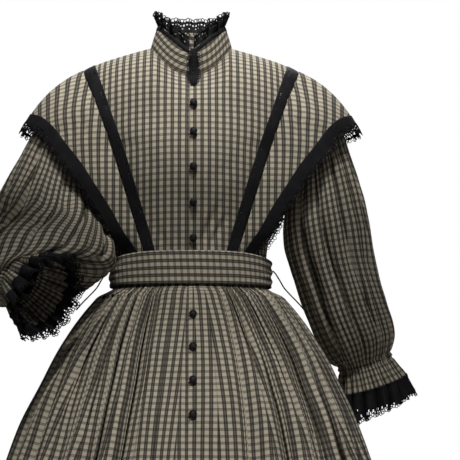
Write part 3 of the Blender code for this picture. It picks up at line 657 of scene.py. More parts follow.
def check_material(name):
    """Yarn-dyed cotton check, drawn on the Cloth map: U across the warp stripes, V along them."""
    nodes = Nodes(name, 0.88)
    uv = nodes.add("ShaderNodeUVMap", uv_map="Cloth").outputs["UV"]
    wobble = nodes.noise(uv, 18.0, 1.0)
    shift = nodes.maths("MULTIPLY", nodes.maths("SUBTRACT", wobble, 0.5), 0.0010)
    split = nodes.add("ShaderNodeSeparateXYZ")
    nodes.link(uv, split.inputs[0])
    across = nodes.maths("ADD", split.outputs["X"], shift)
    along = nodes.maths("ADD", split.outputs["Y"], shift)
    warp_dark = stripe(nodes, across, WARP_PERIOD, WARP_STRIPE)
    weft_dark = stripe(nodes, along, WEFT_PERIOD, WEFT_STRIPE)
    warp_slub = nodes.noise(nodes.scaled(uv, (1900.0, 60.0, 1.0)), 1.0)
    weft_slub = nodes.noise(nodes.scaled(uv, (60.0, 1900.0, 1.0)), 1.0)
    slub = nodes.maths("MULTIPLY", nodes.maths("ADD", warp_slub, weft_slub), 0.5)
    ground = nodes.mix(nodes.ramp(slub, 0.40, 0.65, 0.0, 0.45), LIGHT_YARN, GREY_YARN)
    with_weft = nodes.mix(nodes.maths("MULTIPLY", weft_dark, WEFT_COVER), ground, DARK_YARN)
    cloth = nodes.mix(nodes.maths("MULTIPLY", warp_dark, WARP_COVER), with_weft, DARK_YARN)
    worn = nodes.noise(nodes.place(), 9.0, 3.0)
    cloth = nodes.mix(nodes.ramp(worn, 0.3, 0.7, 0.0, 0.12), cloth, (0.55, 0.52, 0.47), "MULTIPLY")
    nodes.link(cloth, nodes.shader.inputs["Base Color"])
    yarn = 2 * math.pi / YARN_PITCH
    over = nodes.maths("SINE", nodes.maths("MULTIPLY", across, yarn))
    under = nodes.maths("SINE", nodes.maths("MULTIPLY", along, yarn))
    weave = nodes.maths("MULTIPLY", over, under)
    height = nodes.maths("MULTIPLY_ADD", weave, 0.35, nodes.maths("ADD", warp_slub, weft_slub))
    nodes.bump(height, 0.25, 0.0003)
    nodes.shader.inputs["Sheen Weight"].default_value = 0.04
    nodes.shader.inputs["Sheen Roughness"].default_value = 0.5
    return nodes.material


def thread_material(name, colour, pale, roughness, thread_scale):
    """Twisted black thread: a fine grain of ridges, their tops painted a little paler as a painted
    highlight.
    """
    nodes = Nodes(name, roughness)
    place = nodes.place()
    grain = nodes.noise(place, thread_scale, 3.0)
    patch = nodes.noise(place, thread_scale / 20, 2.0)
    # Painted highlight: the grain's ridges get the pale colour; the broad patches below pale the thread at
    # random.
    colour_mix = nodes.mix(nodes.ramp(grain, 0.45, 0.75), colour, pale)
    colour_mix = nodes.mix(nodes.ramp(patch, 0.4, 0.8, 0.0, 0.5), colour_mix, pale)
    nodes.link(colour_mix, nodes.shader.inputs["Base Color"])
    nodes.bump(grain, 0.5, 0.0004)
    nodes.shader.inputs["Sheen Weight"].default_value = 0.02
    nodes.shader.inputs["Sheen Roughness"].default_value = 0.4
    return nodes.material


def plain_material(name, colour, roughness):
    """One colour with faint paler clouds."""
    nodes = Nodes(name, roughness)
    clouds = nodes.ramp(nodes.noise(nodes.place(), 3.0, 2.0), 0.3, 0.7, 0.0, 0.06)
    nodes.link(nodes.mix(clouds, colour, (0.7, 0.7, 0.7)), nodes.shader.inputs["Base Color"])
    return nodes.material


CHECK = check_material("yarn_dyed_check")
LACE = thread_material("black_cotton_lace", (0.006, 0.006, 0.008), (0.022, 0.021, 0.022), 0.75, 900.0)
BRAID_THREAD = thread_material("black_braid", (0.007, 0.007, 0.009), (0.026, 0.025, 0.026), 0.70, 700.0)
BUTTON_THREAD = thread_material(
    "black_button_thread", (0.006, 0.006, 0.008), (0.035, 0.033, 0.034), 0.55, 600.0
)
CORD = thread_material("black_cord", (0.010, 0.009, 0.009), (0.030, 0.028, 0.026), 0.80, 800.0)
SEWING = thread_material("sewing_thread", (0.420, 0.380, 0.310), (0.560, 0.510, 0.420), 0.80, 900.0)


# The bodice: v runs from the waist (0) by the chest (1) to the shoulder seam (2).

def level_of(z):
    return (z - WAIST_Z) / (CHEST_Z - WAIST_Z)


CAD_LEVELS = [level_of(row.z) for row in BODY] + [1 + turn / 90 for turn in SHOULDER_TURNS]
BODY_LEVELS = np.concatenate([np.linspace(0, 1, 60), np.linspace(1, 2, 38)[1:]])


def body_table(name, z):
    return curve(column_of(BODY, "z"), column_of(BODY, name), z)


def body_half_width(v):
    z = WAIST_Z + np.minimum(v, 1.0) * (CHEST_Z - WAIST_Z)
    width = body_table("half_width", z)
    turn = np.maximum(np.asarray(v) - 1.0, 0.0) * math.pi / 2
    return width + (SHOULDER_X - width) * (1 - np.cos(turn))


def neck_line(x, face):
    """The neckline over places x across the body."""
    across = np.minimum(np.abs(x) / NECK_X, 1.0)
    low = NECK_FRONT_Z if face == FRONT else NECK_BACK_Z
    return face * NECK_DEPTH * np.sqrt(1 - across * across), low + (NECK_SIDE_Z - low) * across**2


def body_points(v, x, face):
    """Points of the bodice's outer face at levels v and places x across the body."""
    v, x = np.broadcast_arrays(np.asarray(v, float), np.asarray(x, float))
    z = WAIST_Z + np.minimum(v, 1.0) * (CHEST_Z - WAIST_Z)
    turn = np.maximum(v - 1.0, 0.0) * math.pi / 2
    s = x / body_half_width(v)
    width = body_table("half_width", z)
    depth = body_table("front" if face == FRONT else "back", z)
    rise = np.maximum(z - UNDERARM_Z, 0.0) / (CHEST_Z - UNDERARM_Z)
    reach = ARMHOLE_REACH * np.sqrt(rise)
    bow = np.maximum(1 - np.abs(s) ** BODY_SQUARENESS, 0.0) ** (1 / BODY_SQUARENESS)
    chest_y = face * (reach + (depth - reach) * bow)
    end_x = SHOULDER_X * s
    neck_y, neck_z = neck_line(end_x, face)
    shoulder_z = curve(column_of(SHOULDER, "x"), column_of(SHOULDER, "z"), np.abs(end_x))
    on_neck = np.abs(end_x) < NECK_X
    end_y = np.where(on_neck, neck_y, 0.0)
    end_z = np.where(on_neck, neck_z, shoulder_z)
    across = np.minimum(np.abs(end_x) / NECK_X, 1.0)
    straight = 1.5 - 0.5 * across**2
    up = np.sin(turn) ** straight
    down = np.maximum(np.cos(turn), 0.0) ** straight
    return np.stack(
        [
            np.where(v <= 1, width * s, x),
            np.where(v <= 1, chest_y, end_y + (chest_y - end_y) * down),
            np.where(v <= 1, z, z + (end_z - z) * up),
        ],
        axis=-1,
    )


def braid_x(v):
    """The inner edge of the braid."""
    v = np.asarray(v, float)
    z = WAIST_Z + np.minimum(v, 1.0) * (CHEST_Z - WAIST_Z)
    turn = np.maximum(v - 1.0, 0.0) * math.pi / 2
    below = curve(column_of(BRAID, "z"), column_of(BRAID, "x"), z)
    above = BRAID_CHEST_X + (BRAID_SHOULDER_X - BRAID_CHEST_X) * np.sin(turn)
    return np.where(v <= 1, below, above)


NECK_TURNS = [math.radians(18 * k) for k in range(1, 6)]
# The solids' columns from the centre to the braid: x at the waist, and x at the shoulder.
LANES = [(0.018 + 0.002 * k, NECK_X * math.sin(turn)) for k, turn in enumerate(NECK_TURNS, 1)]
LANES += [(0.040, 0.120), (BRAID_WAIST_X, BRAID_SHOULDER_X)]
SIDE_LANES = 6
COLUMN_STEP = 0.0042
INSIDE_BODICE = (0, 0, -0.25)


def lane_places(v):
    """Places across the body at level v, from the centre outwards."""
    inner = float(braid_x(v))
    progress = (inner - BRAID_WAIST_X) / (BRAID_SHOULDER_X - BRAID_WAIST_X)
    places = [waist + (top - waist) * progress for waist, top in LANES]
    outer = inner + BRAID_WIDTH
    places.append(outer)
    half_width = float(body_half_width(v))
    start = math.asin((outer / half_width) ** (BODY_SQUARENESS / 2))
    for k in range(1, SIDE_LANES + 1):
        angle = start + (math.pi / 2 - start) * k / SIDE_LANES
        places.append(half_width * math.sin(angle) ** (2 / BODY_SQUARENESS))
    return places


def fine_places(first_places):
    """Columns at every level: the lanes with more columns between them."""
    lanes = np.array([first_places + lane_places(v) for v in BODY_LEVELS])
    widest = np.abs(np.diff(lanes, axis=1)).max(axis=0)
    counts = np.maximum(np.ceil(widest / COLUMN_STEP).astype(int), 2)
    at = np.concatenate([k + np.arange(n) / n for k, n in enumerate(counts)] + [[len(counts)]])
    index = np.arange(lanes.shape[1])
    return np.array([np.interp(at, index, row) for row in lanes])


def smoothed(grid, reach):
    """Each line of a grid eased along its first axis, its ends kept."""
    before = 2 * grid[:1] - grid[reach:0:-1]
    after = 2 * grid[-1:] - grid[-2:-reach - 2:-1]
    padded = np.concatenate([before, grid, after])
    count = len(grid)
    weights = 1 + np.cos(np.pi * np.arange(-reach, reach + 1) / (reach + 1))
    total = sum(w * padded[k:k + count] for k, w in enumerate(weights))
    return total / weights.sum()


def upright_above_chest(u, places):
    """Places in the cloth that keep the stripes upright from the chest to the shoulder."""
    chest = np.abs(BODY_LEVELS - 1).argmin()
    order = np.argsort(places[chest])
    known_x, known_u = places[chest][order], u[chest][order]
    flat = np.interp(places, known_x, known_u)
    flat = flat + np.minimum(places - known_x[0], 0) + np.maximum(places - known_x[-1], 0)
    return u + (flat - u) * share_between(BODY_LEVELS[:, None], 0.75, 1)


def lap_inset(x):
    """How deep the right front lies under the left, at places x across the body."""
    return LAP_INSET * share_between(x, LAP_FOOT_X, LAP_FULL_X)


def bodice_panel(name, node, face, places, creases, under_lap=False):
    grid = body_points(BODY_LEVELS[:, None], places, face)
    grid[..., 1] += face * 0.0001
    near_chest = np.exp(-(((BODY_LEVELS - 1) / 0.14) ** 2))[:, None, None]
    grid = grid + (smoothed(grid, 6) - grid) * near_chest
    normals = outward(grid, INSIDE_BODICE)
    centre = np.abs(places).argmin(axis=1)[0]
    u = arc_lengths(grid, 1)
    u = (u - u[:, centre:centre + 1]) * np.sign(places[0, -1] - places[0, 0])
    u = upright_above_chest(u, places)
    v = arc_lengths(grid, 0)
    grid = creased(grid, normals, creases)
    up = BODY_LEVELS[:, None]
    quiet_ends = np.minimum(1.0, (2 - up) / 0.2) * np.minimum(1.0, up / 0.05)
    puff = uneven(u, v, 0.035, 0.7) * 0.0007 * quiet_ends
    grid = grid + normals * puff[..., None]
    if under_lap:
        grid = grid - normals * lap_inset(places)[..., None]
    return cloth_piece(name, node, grid, normals, u, v)


def build_bodice():
    places = fine_places([FRONT_EDGE_X, -FRONT_EDGE_X])
    left = bodice_panel("front_left_half", "bodice_front_left", FRONT, places, FRONT_CREASES)
    places = -fine_places([-LAP_UNDER_X, -LAP_FOOT_X])
    right = bodice_panel("front_right_half", "bodice_front_right", FRONT, places, FRONT_CREASES, True)
    half = fine_places([0.0])
    places = np.concatenate([-half[:, :0:-1], half], axis=1)
    back = bodice_panel("back_bodice", "bodice_back", BACK, places, BACK_CREASES)


def over_shoulder(hand, offset, levels):
    """Points and bodice normals from front waist over the shoulder to back waist."""
    strips = []
    step = 1e-4
    for face in (FRONT, BACK):
        x = hand * (braid_x(levels) + offset)
        points = body_points(levels, x, face)
        up = body_points(np.minimum(levels + step, 2), x, face)
        up = up - body_points(np.maximum(levels - step, 0), x, face)
        aside = body_points(levels, x + step, face) - body_points(levels, x - step, face)
        normals = unit(np.cross(aside, up))
        flip = np.sign((normals * (points - np.array(INSIDE_BODICE))).sum(axis=-1))
        strips.append((points, normals * flip[:, None]))
    (front, front_normals), (back, back_normals) = strips
    top = unit((front_normals[-1] + back_normals[-1]) * (1, 0, 1))
    return (
        np.concatenate([front, back[-2::-1]]),
        np.concatenate([front_normals[:-1], top[None], back_normals[-2::-1]]),
    )


def strip_levels(below, above):
    """Levels of a strip, with so many below the chest and so many above it."""
    return np.concatenate([np.linspace(CAD_LEVELS[1], 1, below), np.linspace(1, 2, above)[1:]])


def build_braids():
    """Black braid: some small ladder holes near its inner edge and shallow scallops on its outer."""
    levels = strip_levels(120, 88)
    shares = np.linspace(0, 1, BRAID_COLUMNS)
    for hand, side in SIDES:
        strips = [over_shoulder(hand, BRAID_WIDTH * share, levels) for share in shares]
        grid = np.stack([points + BRAID_LIFT * normals for points, normals in strips], axis=1)
        grid = smoothed(grid, BRAID_EASE)
        normals = unit(smoothed(np.stack([strip[1] for strip in strips], axis=1), BRAID_EASE))
        length = arc_lengths(grid, 0)[:, -1]
        scallop = BRAID_SCALLOP * np.abs(np.sin(np.pi * length / BRAID_SCALLOP_PITCH)) - 0.0008
        out = unit(grid[:, -1] - grid[:, -2])
        grid = grid + out[:, None] * scallop[:, None, None] * shares[None, :, None] ** 6
        rib = np.sin(2 * np.pi * length / BRAID_RIB_PITCH)[:, None] * np.cos(2 * np.pi * 3 * shares)
        grid = grid + normals * (BRAID_RIB * rib)[..., None]

        def ladder(u, v):
            row = np.abs(u - 0.0070) < 0.0007
            bar = (v / 0.0048) % 1 < 0.36
            return row & bar & (np.sin(v * 230) + np.sin(v * 91) > 0.25)

        braid = openwork("braid_" + side, grid, normals, ladder, BRAID_THREAD, 0.0009)
        finish_piece(braid, ["yoke_braid_" + side])


def wing_grid(hand, columns, levels):
    """The wing's outer face: it springs from the braid and bulges on its way to its outer edge."""
    seam, seam_normals = over_shoulder(hand, BRAID_WIDTH + WING_SEAM_GAP, levels)
    ease = len(levels) // 18
    seam_normals = unit(smoothed(seam_normals, ease))
    start = smoothed(seam, ease) + WING_LIFT * seam_normals
    edge = curve(CAD_LEVELS[1:], np.array(WING_EDGE), levels)
    end = np.concatenate([edge * (hand, FRONT, 1), edge[-2::-1] * (hand, BACK, 1)])
    reach = np.linalg.norm(end - start, axis=1, keepdims=True)
    both = there_and_back(levels)[:, None]
    bulge = WING_BULGE_AT_WAIST + (WING_BULGE_AT_SHOULDER - WING_BULGE_AT_WAIST) * both / 2
    middle = (start + end) / 2 + bulge * reach * seam_normals
    w = np.linspace(0, 1, columns)[None, :, None]
    start, middle, end = start[:, None], middle[:, None], end[:, None]
    grid = (1 - w) ** 2 * start + 2 * w * (1 - w) * middle + w * w * end
    return grid, outward(grid, (hand * 0.12, 0, -0.28))


def build_wings():
    levels = strip_levels(70, 60)
    for hand, side in SIDES:
        grid, normals = wing_grid(hand, WING_COLUMNS, levels)
        seam_v = arc_lengths(grid, 0)[:, :1]
        u = braid_x(there_and_back(levels))[:, None] + BRAID_WIDTH + arc_lengths(grid * (1, 1, 0), 1)
        rising = np.where(np.arange(len(grid)) < len(grid) // 2, 1, -1)[:, None]
        v = seam_v + rising * (grid[..., 2] - grid[:, :1, 2])
        grid = creased(grid, normals, WING_CREASES, hand)
        fan = np.linspace(0, 1, WING_COLUMNS) * share_between(grid[..., 2], -0.26, -0.06) ** 1.5
        v = v + 0.30 * fan * (np.abs(grid[..., 0]) - np.abs(grid[:, :1, 0]))
        u = u - 0.048 * fan
        piece = cloth_piece("wing_cloth_" + side, "wing_" + side, grid, normals, u * hand, v)
        build_wing_lace(hand, side)


def build_wing_lace(hand, side):
    """The black band on the wing's outer edge, looser and wider past the cloth at the shoulder."""
    levels = strip_levels(150, 116)
    base, facing = wing_grid(hand, 60, levels)
    shape = creased(base, facing, WING_CREASES, hand)
    places = arc_lengths(shape, 1)
    at_tip = eased(share_between(there_and_back(levels), 1.25, 1.85))
    on_cloth = WING_LACE_ON_CLOTH - 0.009 * at_tip
    shares = np.linspace(-1, 0, 17)
    band = np.empty((len(shape), len(shares), 3))
    band_normals = np.empty_like(band)
    for row, lengths in enumerate(places):
        at = np.maximum(lengths[-1] + on_cloth[row] * shares, 0)
        band[row] = read_line(at, lengths, shape[row])
        band_normals[row] = read_line(at, lengths, facing[row])
    beyond = unit(band[:, -1] - band[:, -2])
    length = arc_lengths(band, 0)[:, -1]
    steps = np.linspace(0, 1, 8)[1:]
    scallop = np.abs(np.sin(np.pi * length / WING_SCALLOP_PITCH))
    reach = WING_LACE_BEYOND - 0.0035 + 0.0025 * scallop + 0.009 * at_tip
    far = band[:, -1:] + beyond[:, None] * (reach[:, None] * steps)[..., None]
    far[..., 2] -= 0.007 * at_tip[:, None] * steps**2
    ruffle = (0.0016 + 0.0022 * at_tip) * np.sin(2 * np.pi * length / 0.021)
    far = far + band_normals[:, -1:] * (ruffle[:, None] * steps)[..., None]
    band = np.concatenate([band, far], axis=1)
    far_normals = np.repeat(band_normals[:, -1:], len(steps), axis=1)
    band_normals = np.concatenate([band_normals, far_normals], axis=1)
    band = band + unit(band_normals) * LACE_LIFT
    middle = length[len(length) // 2]

    def net(u, v):
        eyelets = hole_row(u, 0.0255, 0.0015, v, WING_HOLE_PITCH, 0.0015)
        upper = hole_row(u, 0.0205, 0.0014, v, WING_HOLE_PITCH, 0.0014, 0.5)
        return eyelets | (upper & (np.abs(v - middle) < 0.10))

    edge = (band[:, -1], beyond, unit(band_normals[:, -1]), 0.0068, 0.0058)
    lace = lace_piece("wing_edging_" + side, "wing_lace_" + side, band, band_normals, net, [edge])


# The collar: turn runs round the neck from the centre front by the wearer's left.

def collar_base(turns):
    across = NECK_X * np.sin(turns)
    ahead = np.cos(turns) > 0
    front_y, front_z = neck_line(across, FRONT)
    back_y, back_z = neck_line(across, BACK)
    y = np.where(ahead, front_y, back_y)
    z = np.where(ahead, front_z, back_z)
    return np.stack([across, y, z], axis=-1)


def collar_top(turns):
    across = np.sin(turns)
    ahead = np.cos(turns)
    y = -np.where(ahead > 0, COLLAR_TOP_FRONT_Y, COLLAR_TOP_BACK_Y) * ahead
    rise = COLLAR_TOP_SIDE_Z - COLLAR_TOP_FRONT_Z
    front_z = COLLAR_TOP_FRONT_Z + rise * np.abs(across) ** 1.2
    back_z = COLLAR_TOP_SIDE_Z + 0.004 * ahead * ahead
    return np.stack([COLLAR_TOP_X * across, y, np.where(ahead > 0, front_z, back_z)], axis=-1)


def collar_turns(count):
    first = math.asin(-FRONT_EDGE_X / NECK_X)
    return np.linspace(first, 2 * math.pi - first, count)


def build_collar():
    turns = collar_turns(150)
    heights = np.linspace(0, 1, 16)[:, None, None]
    grid = collar_base(turns) * (1 - heights) + collar_top(turns) * heights
    normals = outward(grid, (0, 0, 0))
    bow = np.sin(np.pi * heights) * 0.0006
    wander = uneven(turns * 0.07, heights[..., 0] * 0.04, 0.02, 1.3)[..., None] * 0.0004
    grid = grid + normals * (bow + wander)
    u, v = arc_lengths(grid, 0), arc_lengths(grid, 1)
    collar = cloth_piece("stand_collar", "collar", grid, normals, u, v, thickness=0.0012)
    build_collar_lace()
    build_neck_fall()


def build_collar_lace():
    """Ruffled lace that turns over the collar's top edge and stands above it in loops."""
    turns = collar_turns(420)
    top = collar_top(turns)
    lean = unit(outward(np.stack([collar_base(turns), top]), (0, 0, 0))[-1] * (1, 1, 0))
    down = unit(collar_base(turns) - top)
    up = np.array([0.0, 0.0, 1.0])
    wave = np.sin(COLLAR_LACE_WAVES * turns + 0.6 * np.sin(3 * turns))[:, None]
    heights = np.linspace(-0.30, 0.78, 19)
    rows = [top - down * (height * COLLAR_LACE_HEIGHT) + lean * 0.0010 for height in heights[heights < 0]]
    for height in heights[heights >= 0]:
        swing = COLLAR_LACE_LEAN * height + COLLAR_LACE_WAVE * height**0.8 * wave - 0.0008
        rows.append(top + up * COLLAR_LACE_HEIGHT * height + lean * swing)
    grid = np.array(rows)
    normals = outward(grid, (0, 0, 0))
    length = arc_lengths(grid, 1)[9]
    scallop = 0.0016 * np.abs(np.sin(np.pi * length / 0.0075))
    grid[-3:] += (up * scallop[:, None]) * np.array([0.3, 0.7, 1.0])[:, None, None]

    def net(u, v):
        big = hole_row(v, 0.0235, 0.0013, u, 0.0062, 0.0014)
        low = hole_row(v, 0.0165, 0.0010, u, 0.0124, 0.0012)
        return big | low

    edge = (grid[-1], np.repeat(up[None], grid.shape[1], axis=0), normals[-1], 0.0062, 0.0060, 0.0016)
    lace = lace_piece("collar_ruffle", "collar_lace", grid, normals, net, [edge])


def build_neck_fall():
    """The narrow lace that hangs, rippled, from the collar's opening and tapers to its foot."""
    rows = np.linspace(0, 1, 60)
    index = np.linspace(0, 1, len(NECK_FALL))
    z, y, half, wave = curve(index, np.array(NECK_FALL), rows).T[..., None]
    across = np.linspace(-1, 1, 25)
    ripple = np.cos(2 * np.pi * (across + 1)) + 0.4 * np.sin(5 * across)
    flutter = 0.0010 * np.sin(rows * 19)[:, None] * np.abs(across)
    x = BUTTON_X + half * across * (1 + 0.08 * np.sin(rows * 23))[:, None]
    grid = np.stack(np.broadcast_arrays(x, y - wave * ripple + flutter, z), axis=-1)
    normals = outward(grid, (0, 0.05, -0.05))

    def net(u, v):
        across_hole = ((u / 0.0070) % 1 - 0.5) * 0.0070
        return hole_row(across_hole, 0.0, 0.0008, v, 0.0080, 0.0009) & (v > 0.004)

    edges = [
        (grid[:, 0], grid[:, 0] - grid[:, 1], normals[:, 0], 0.0055, 0.0046),
        (grid[:, -1], grid[:, -1] - grid[:, -2], normals[:, -1], 0.0055, 0.0046),
        (grid[-1], grid[-1] - grid[-2], normals[-1], 0.0050, 0.0046),
    ]
    lace = lace_piece("neck_fall", "neck_lace_fall", grid, normals, net, edges)


# Sleeves

def evenly_along(loop, count):
    """Places along a closed loop, starting at its first point."""
    ends = np.concatenate([loop, loop[:1]])
    runs = np.linalg.norm(np.diff(ends, axis=0), axis=1)
    places = np.concatenate([[0], np.cumsum(runs)])
    return read_line(np.arange(count) / count * places[-1], places, ends)


def armhole_edge(hand):
    """The armhole's outline on the bodice, from the shoulder down the front and up the back."""
    levels = np.linspace(level_of(UNDERARM_Z), 2, 60)
    edge = {face: body_points(levels, hand * body_half_width(levels), face) for face in (FRONT, BACK)}
    return np.concatenate([edge[FRONT][:0:-1], edge[BACK][:-1]])


def ring(outer, inner, front, turns):
    outer, inner, front = (np.asarray(point, float) for point in (outer, inner, front))
    centre = (outer + inner) / 2
    return centre + np.cos(turns)[:, None] * (outer - centre) + np.sin(turns)[:, None] * (front - centre)


def cuff_ring(hand, distance, radius, turns):
    """A ring across the forearm, at a distance along it from the casing's upper edge."""
    cuff = CUFFS[hand]
    axis = unit(cuff.axis)
    hint = np.array(cuff.outer_hint, float)
    outer = unit(hint - axis * (hint @ axis))
    front = np.cross(axis, outer)
    if front[1] > 0:
        front = -front
    centre = np.array(cuff.centre) + axis * distance
    return ring(
        centre + radius[0] * outer, centre - radius[0] * outer, centre + radius[1] * front, turns
    )


# The sleeve's rows are the armhole (0), its table's sections (1 to 7), and the rows of the cuff.
SLEEVE_FINE = 216
SLEEVE_TURNS = 2 * np.pi * np.arange(SLEEVE_FINE) / SLEEVE_FINE
SLEEVE_COLUMN = np.arange(SLEEVE_FINE) * SLEEVE_COLUMNS / SLEEVE_FINE
CASING_ROW = 8
FRILL_END_ROW = 12
LACE_END_ROW = 13
CUFF_CLOTH_WIDTH = 0.62
ARMHOLE_GAP = 0.0008


def sleeve_surface(hand, lengthwise):
    """Fine sleeve, frill and lace: smooth points, normals, and heights of gathers and folds."""
    sections = LEFT_SLEEVE if hand == LEFT else RIGHT_SLEEVE
    cuff = CUFFS[hand]
    rings = [evenly_along(armhole_edge(hand), SLEEVE_FINE) + (hand * ARMHOLE_GAP, 0, 0)]
    heights = [(0.0, 0.0)]
    for section in sections:
        rings.append(ring(section.outer, section.inner, section.front, SLEEVE_TURNS))
        heights.append((section.gather, section.fold))
    middle_radius = [(a + b) / 2 for a, b in zip(CUFF_RADIUS, FRILL_END_RADIUS)]
    cuff_rows = [
        (0.0, CUFF_RADIUS, 0.0012),
        (CASING_HEIGHT, CUFF_RADIUS, 0.0012),
        (CASING_HEIGHT + 0.5 * FRILL_LENGTH, middle_radius, 0.0035),
        (CASING_HEIGHT + FRILL_SHOWN, FRILL_END_RADIUS, 0.0040),
        (CASING_HEIGHT + FRILL_LENGTH, FRILL_END_RADIUS, 0.0042),
        (CASING_HEIGHT + FRILL_SHOWN + CUFF_LACE_LENGTH, LACE_END_RADIUS, 0.0050),
    ]
    for distance, radius, gather in cuff_rows:
        rings.append(cuff_ring(hand, distance, radius, SLEEVE_TURNS))
        heights.append((gather, 0.0))
    drop = cuff.lace_drop * (1 - np.cos(SLEEVE_TURNS)) / 2
    rings[-1] = rings[-1] + cuff.lace_lean + drop[:, None] * unit(cuff.axis)
    index = np.arange(len(rings), dtype=float)
    smooth = curve(index, np.array(rings), lengthwise)
    heights = curve(index, np.array(heights), lengthwise)
    normals = outward(smooth, smooth.mean(axis=1)[:, None], closed=True)
    return smooth, normals, heights


def sharp_valleys(turn):
    """A wave between -1 and 1 with round ridges and narrow valleys."""
    return 2 * np.sqrt(np.abs(np.cos(turn / 2))) - 1


def sleeve_waves(lengthwise, heights, seed):
    """Folds down the sleeve, their valleys deeper than their ridges are high, and the shirring."""
    column = SLEEVE_COLUMN[None]
    drift = 0.35 * np.sin(column * np.pi / 9 + seed)
    fine = sharp_valleys(np.pi * (column + drift)) * (1 + 0.25 * np.sin(np.pi / 3 * column + seed))
    wander = 0.9 * np.sin(lengthwise[:, None] * 0.55 + column * np.pi / 9 + seed)
    broad = sharp_valleys(np.pi / 2 * (column + wander))
    broad = np.where(broad > 0, 0.5 * broad, 2.3 * broad) * (1 + 0.25 * np.sin(np.pi / 6 * column + seed))
    second = sharp_valleys(np.pi * 5 / 6 * (column - 0.6 * wander) + 2.0)
    shirring = np.exp(-(((lengthwise - CASING_ROW - 0.5) / 1.1) ** 2))[:, None]
    pucker = sharp_valleys(2 * np.pi * column) * 0.0013 * shirring
    frill = 1.2 + 0.5 * np.clip((lengthwise - CASING_ROW - 1) / 1.5, 0, 1)[:, None]
    return heights[:, :1] * fine * frill + heights[:, 1:] * (1.45 * broad + 0.6 * second) + pucker


def build_sleeves():
    lengthwise = np.concatenate([
        np.linspace(0, CASING_ROW, 76),
        np.linspace(CASING_ROW, CASING_ROW + 1, 15)[1:],
        np.linspace(CASING_ROW + 1, FRILL_END_ROW, 22)[1:],
    ])
    # The casing's two stitched edges draw the cloth in, and it stands out a little between them.
    casing_lines = {CASING_ROW: 0.0024, CASING_ROW + 0.5: -0.0012, CASING_ROW + 1: 0.0024}
    for hand, side in SIDES:
        smooth, normals, heights = sleeve_surface(hand, lengthwise)
        grid = smooth + normals * sleeve_waves(lengthwise, heights, 0.4 * hand)[..., None]
        grid = creased(grid, normals, LEFT_SLEEVE_CREASES if hand == LEFT else RIGHT_SLEEVE_CREASES)
        rumple = uneven(SLEEVE_TURNS * 0.08, lengthwise[:, None] * 0.05, 0.022, 0.9 * hand)
        loose = np.sin(np.pi * share_between(lengthwise, 0, CASING_ROW))[:, None]
        grid = grid + normals * (rumple * loose * 0.0016)[..., None]
        for row, depth in casing_lines.items():
            line = np.exp(-(((lengthwise - row) / 0.15) ** 2))[:, None, None]
            grid = grid - normals * depth * line
        around = np.linspace(0, CUFF_CLOTH_WIDTH, SLEEVE_FINE + 1)[None]
        down = arc_lengths(np.concatenate([smooth, smooth[:, :1]], axis=1), 0).mean(axis=1)[:, None]
        piece = cloth_piece(
            "sleeve_cloth_" + side, "sleeve_" + side, grid, normals, around, down, closed=True
        )
        build_cuff_lace(hand, side)


def build_cuff_lace(hand, side):
    """Black lace on the frill's end, gathered with it and flared past it."""
    lengthwise = np.linspace(FRILL_END_ROW - 1, LACE_END_ROW, 28)
    smooth, normals, heights = sleeve_surface(hand, lengthwise)
    past = share_between(lengthwise, FRILL_END_ROW, LACE_END_ROW)[:, None]
    waves = sleeve_waves(lengthwise, heights, 0.4 * hand) * (1 + 0.5 * past)
    waves = waves + 0.0016 * past * np.sin(1.55 * np.pi * SLEEVE_COLUMN + 1.1 * hand)
    coarse = np.arange(SLEEVE_FINE + 1.0)
    at = np.arange(SLEEVE_FINE * 2 + 1) / 2

    def finer(grid):
        """A ring grid closed, with two columns for each of its own."""
        closed = np.concatenate([grid, grid[:, :1]], axis=1)
        return curve(coarse, closed.transpose(1, 0, 2), at).transpose(1, 0, 2)

    facing = unit(finer(normals))
    grid = finer(smooth + normals * waves[..., None]) + facing * LACE_LIFT
    axis = unit(CUFFS[hand].axis)
    length = arc_lengths(grid, 1)[-1]
    scallop = 0.0052 * (np.abs(np.sin(np.pi * length / 0.0215)) ** 0.7 - 1)
    grid = grid + axis * scallop[None, :, None] * np.linspace(0, 1, len(grid))[:, None, None] ** 4
    foot = arc_lengths(grid, 0)[-1].mean()

    def net(u, v):
        eyelets = hole_row(foot - v, 0.0036, 0.0015, u, 0.0054, 0.0016)
        upper = hole_row(foot - v, 0.0085, 0.0011, u, 0.0108, 0.0015)
        return eyelets | upper

    edge = (grid[-1], np.repeat(axis[None], len(at), axis=0), facing[-1], 0.0054, 0.0050, 0.0014)
    lace = lace_piece("cuff_ruffle_" + side, "cuff_lace_" + side, grid, facing, net, [edge])


# The skirt and belt: turn runs round the body from the centre front by the wearer's left.

def oval(half_width, front, back, squareness, turn):
    across = np.sin(turn)
    ahead = np.cos(turn)
    power = 2 / squareness
    depth = np.where(ahead > 0, front, back)
    return (
        half_width * np.sign(across) * np.abs(across) ** power,
        -depth * np.sign(ahead) * np.abs(ahead) ** power,
    )


def skirt_squareness(z):
    share = np.clip((WAIST_Z - z) / 0.25, 0.0, 1.0)
    return BODY_SQUARENESS + (2.0 - BODY_SQUARENESS) * share


SKIRT_LEVELS = np.concatenate([
    np.linspace(WAIST_Z, -0.56, 38),
    np.linspace(-0.56, -0.90, 34)[1:],
    np.linspace(-0.90, -1.41, 26)[1:],
])


def skirt_rows(name):
    """A column of the skirt's table at every fine level, its corners eased below the belt."""
    heights = column_of(SKIRT, "z")[::-1]
    values = column_of(SKIRT, name)[::-1]
    ease = share_between(SKIRT_LEVELS, -0.450, -0.480)
    reads = [np.interp(SKIRT_LEVELS + 0.009 * k * ease, heights, values) for k in (-2, -1, 0, 1, 2)]
    return np.mean(reads, axis=0)[:, None]


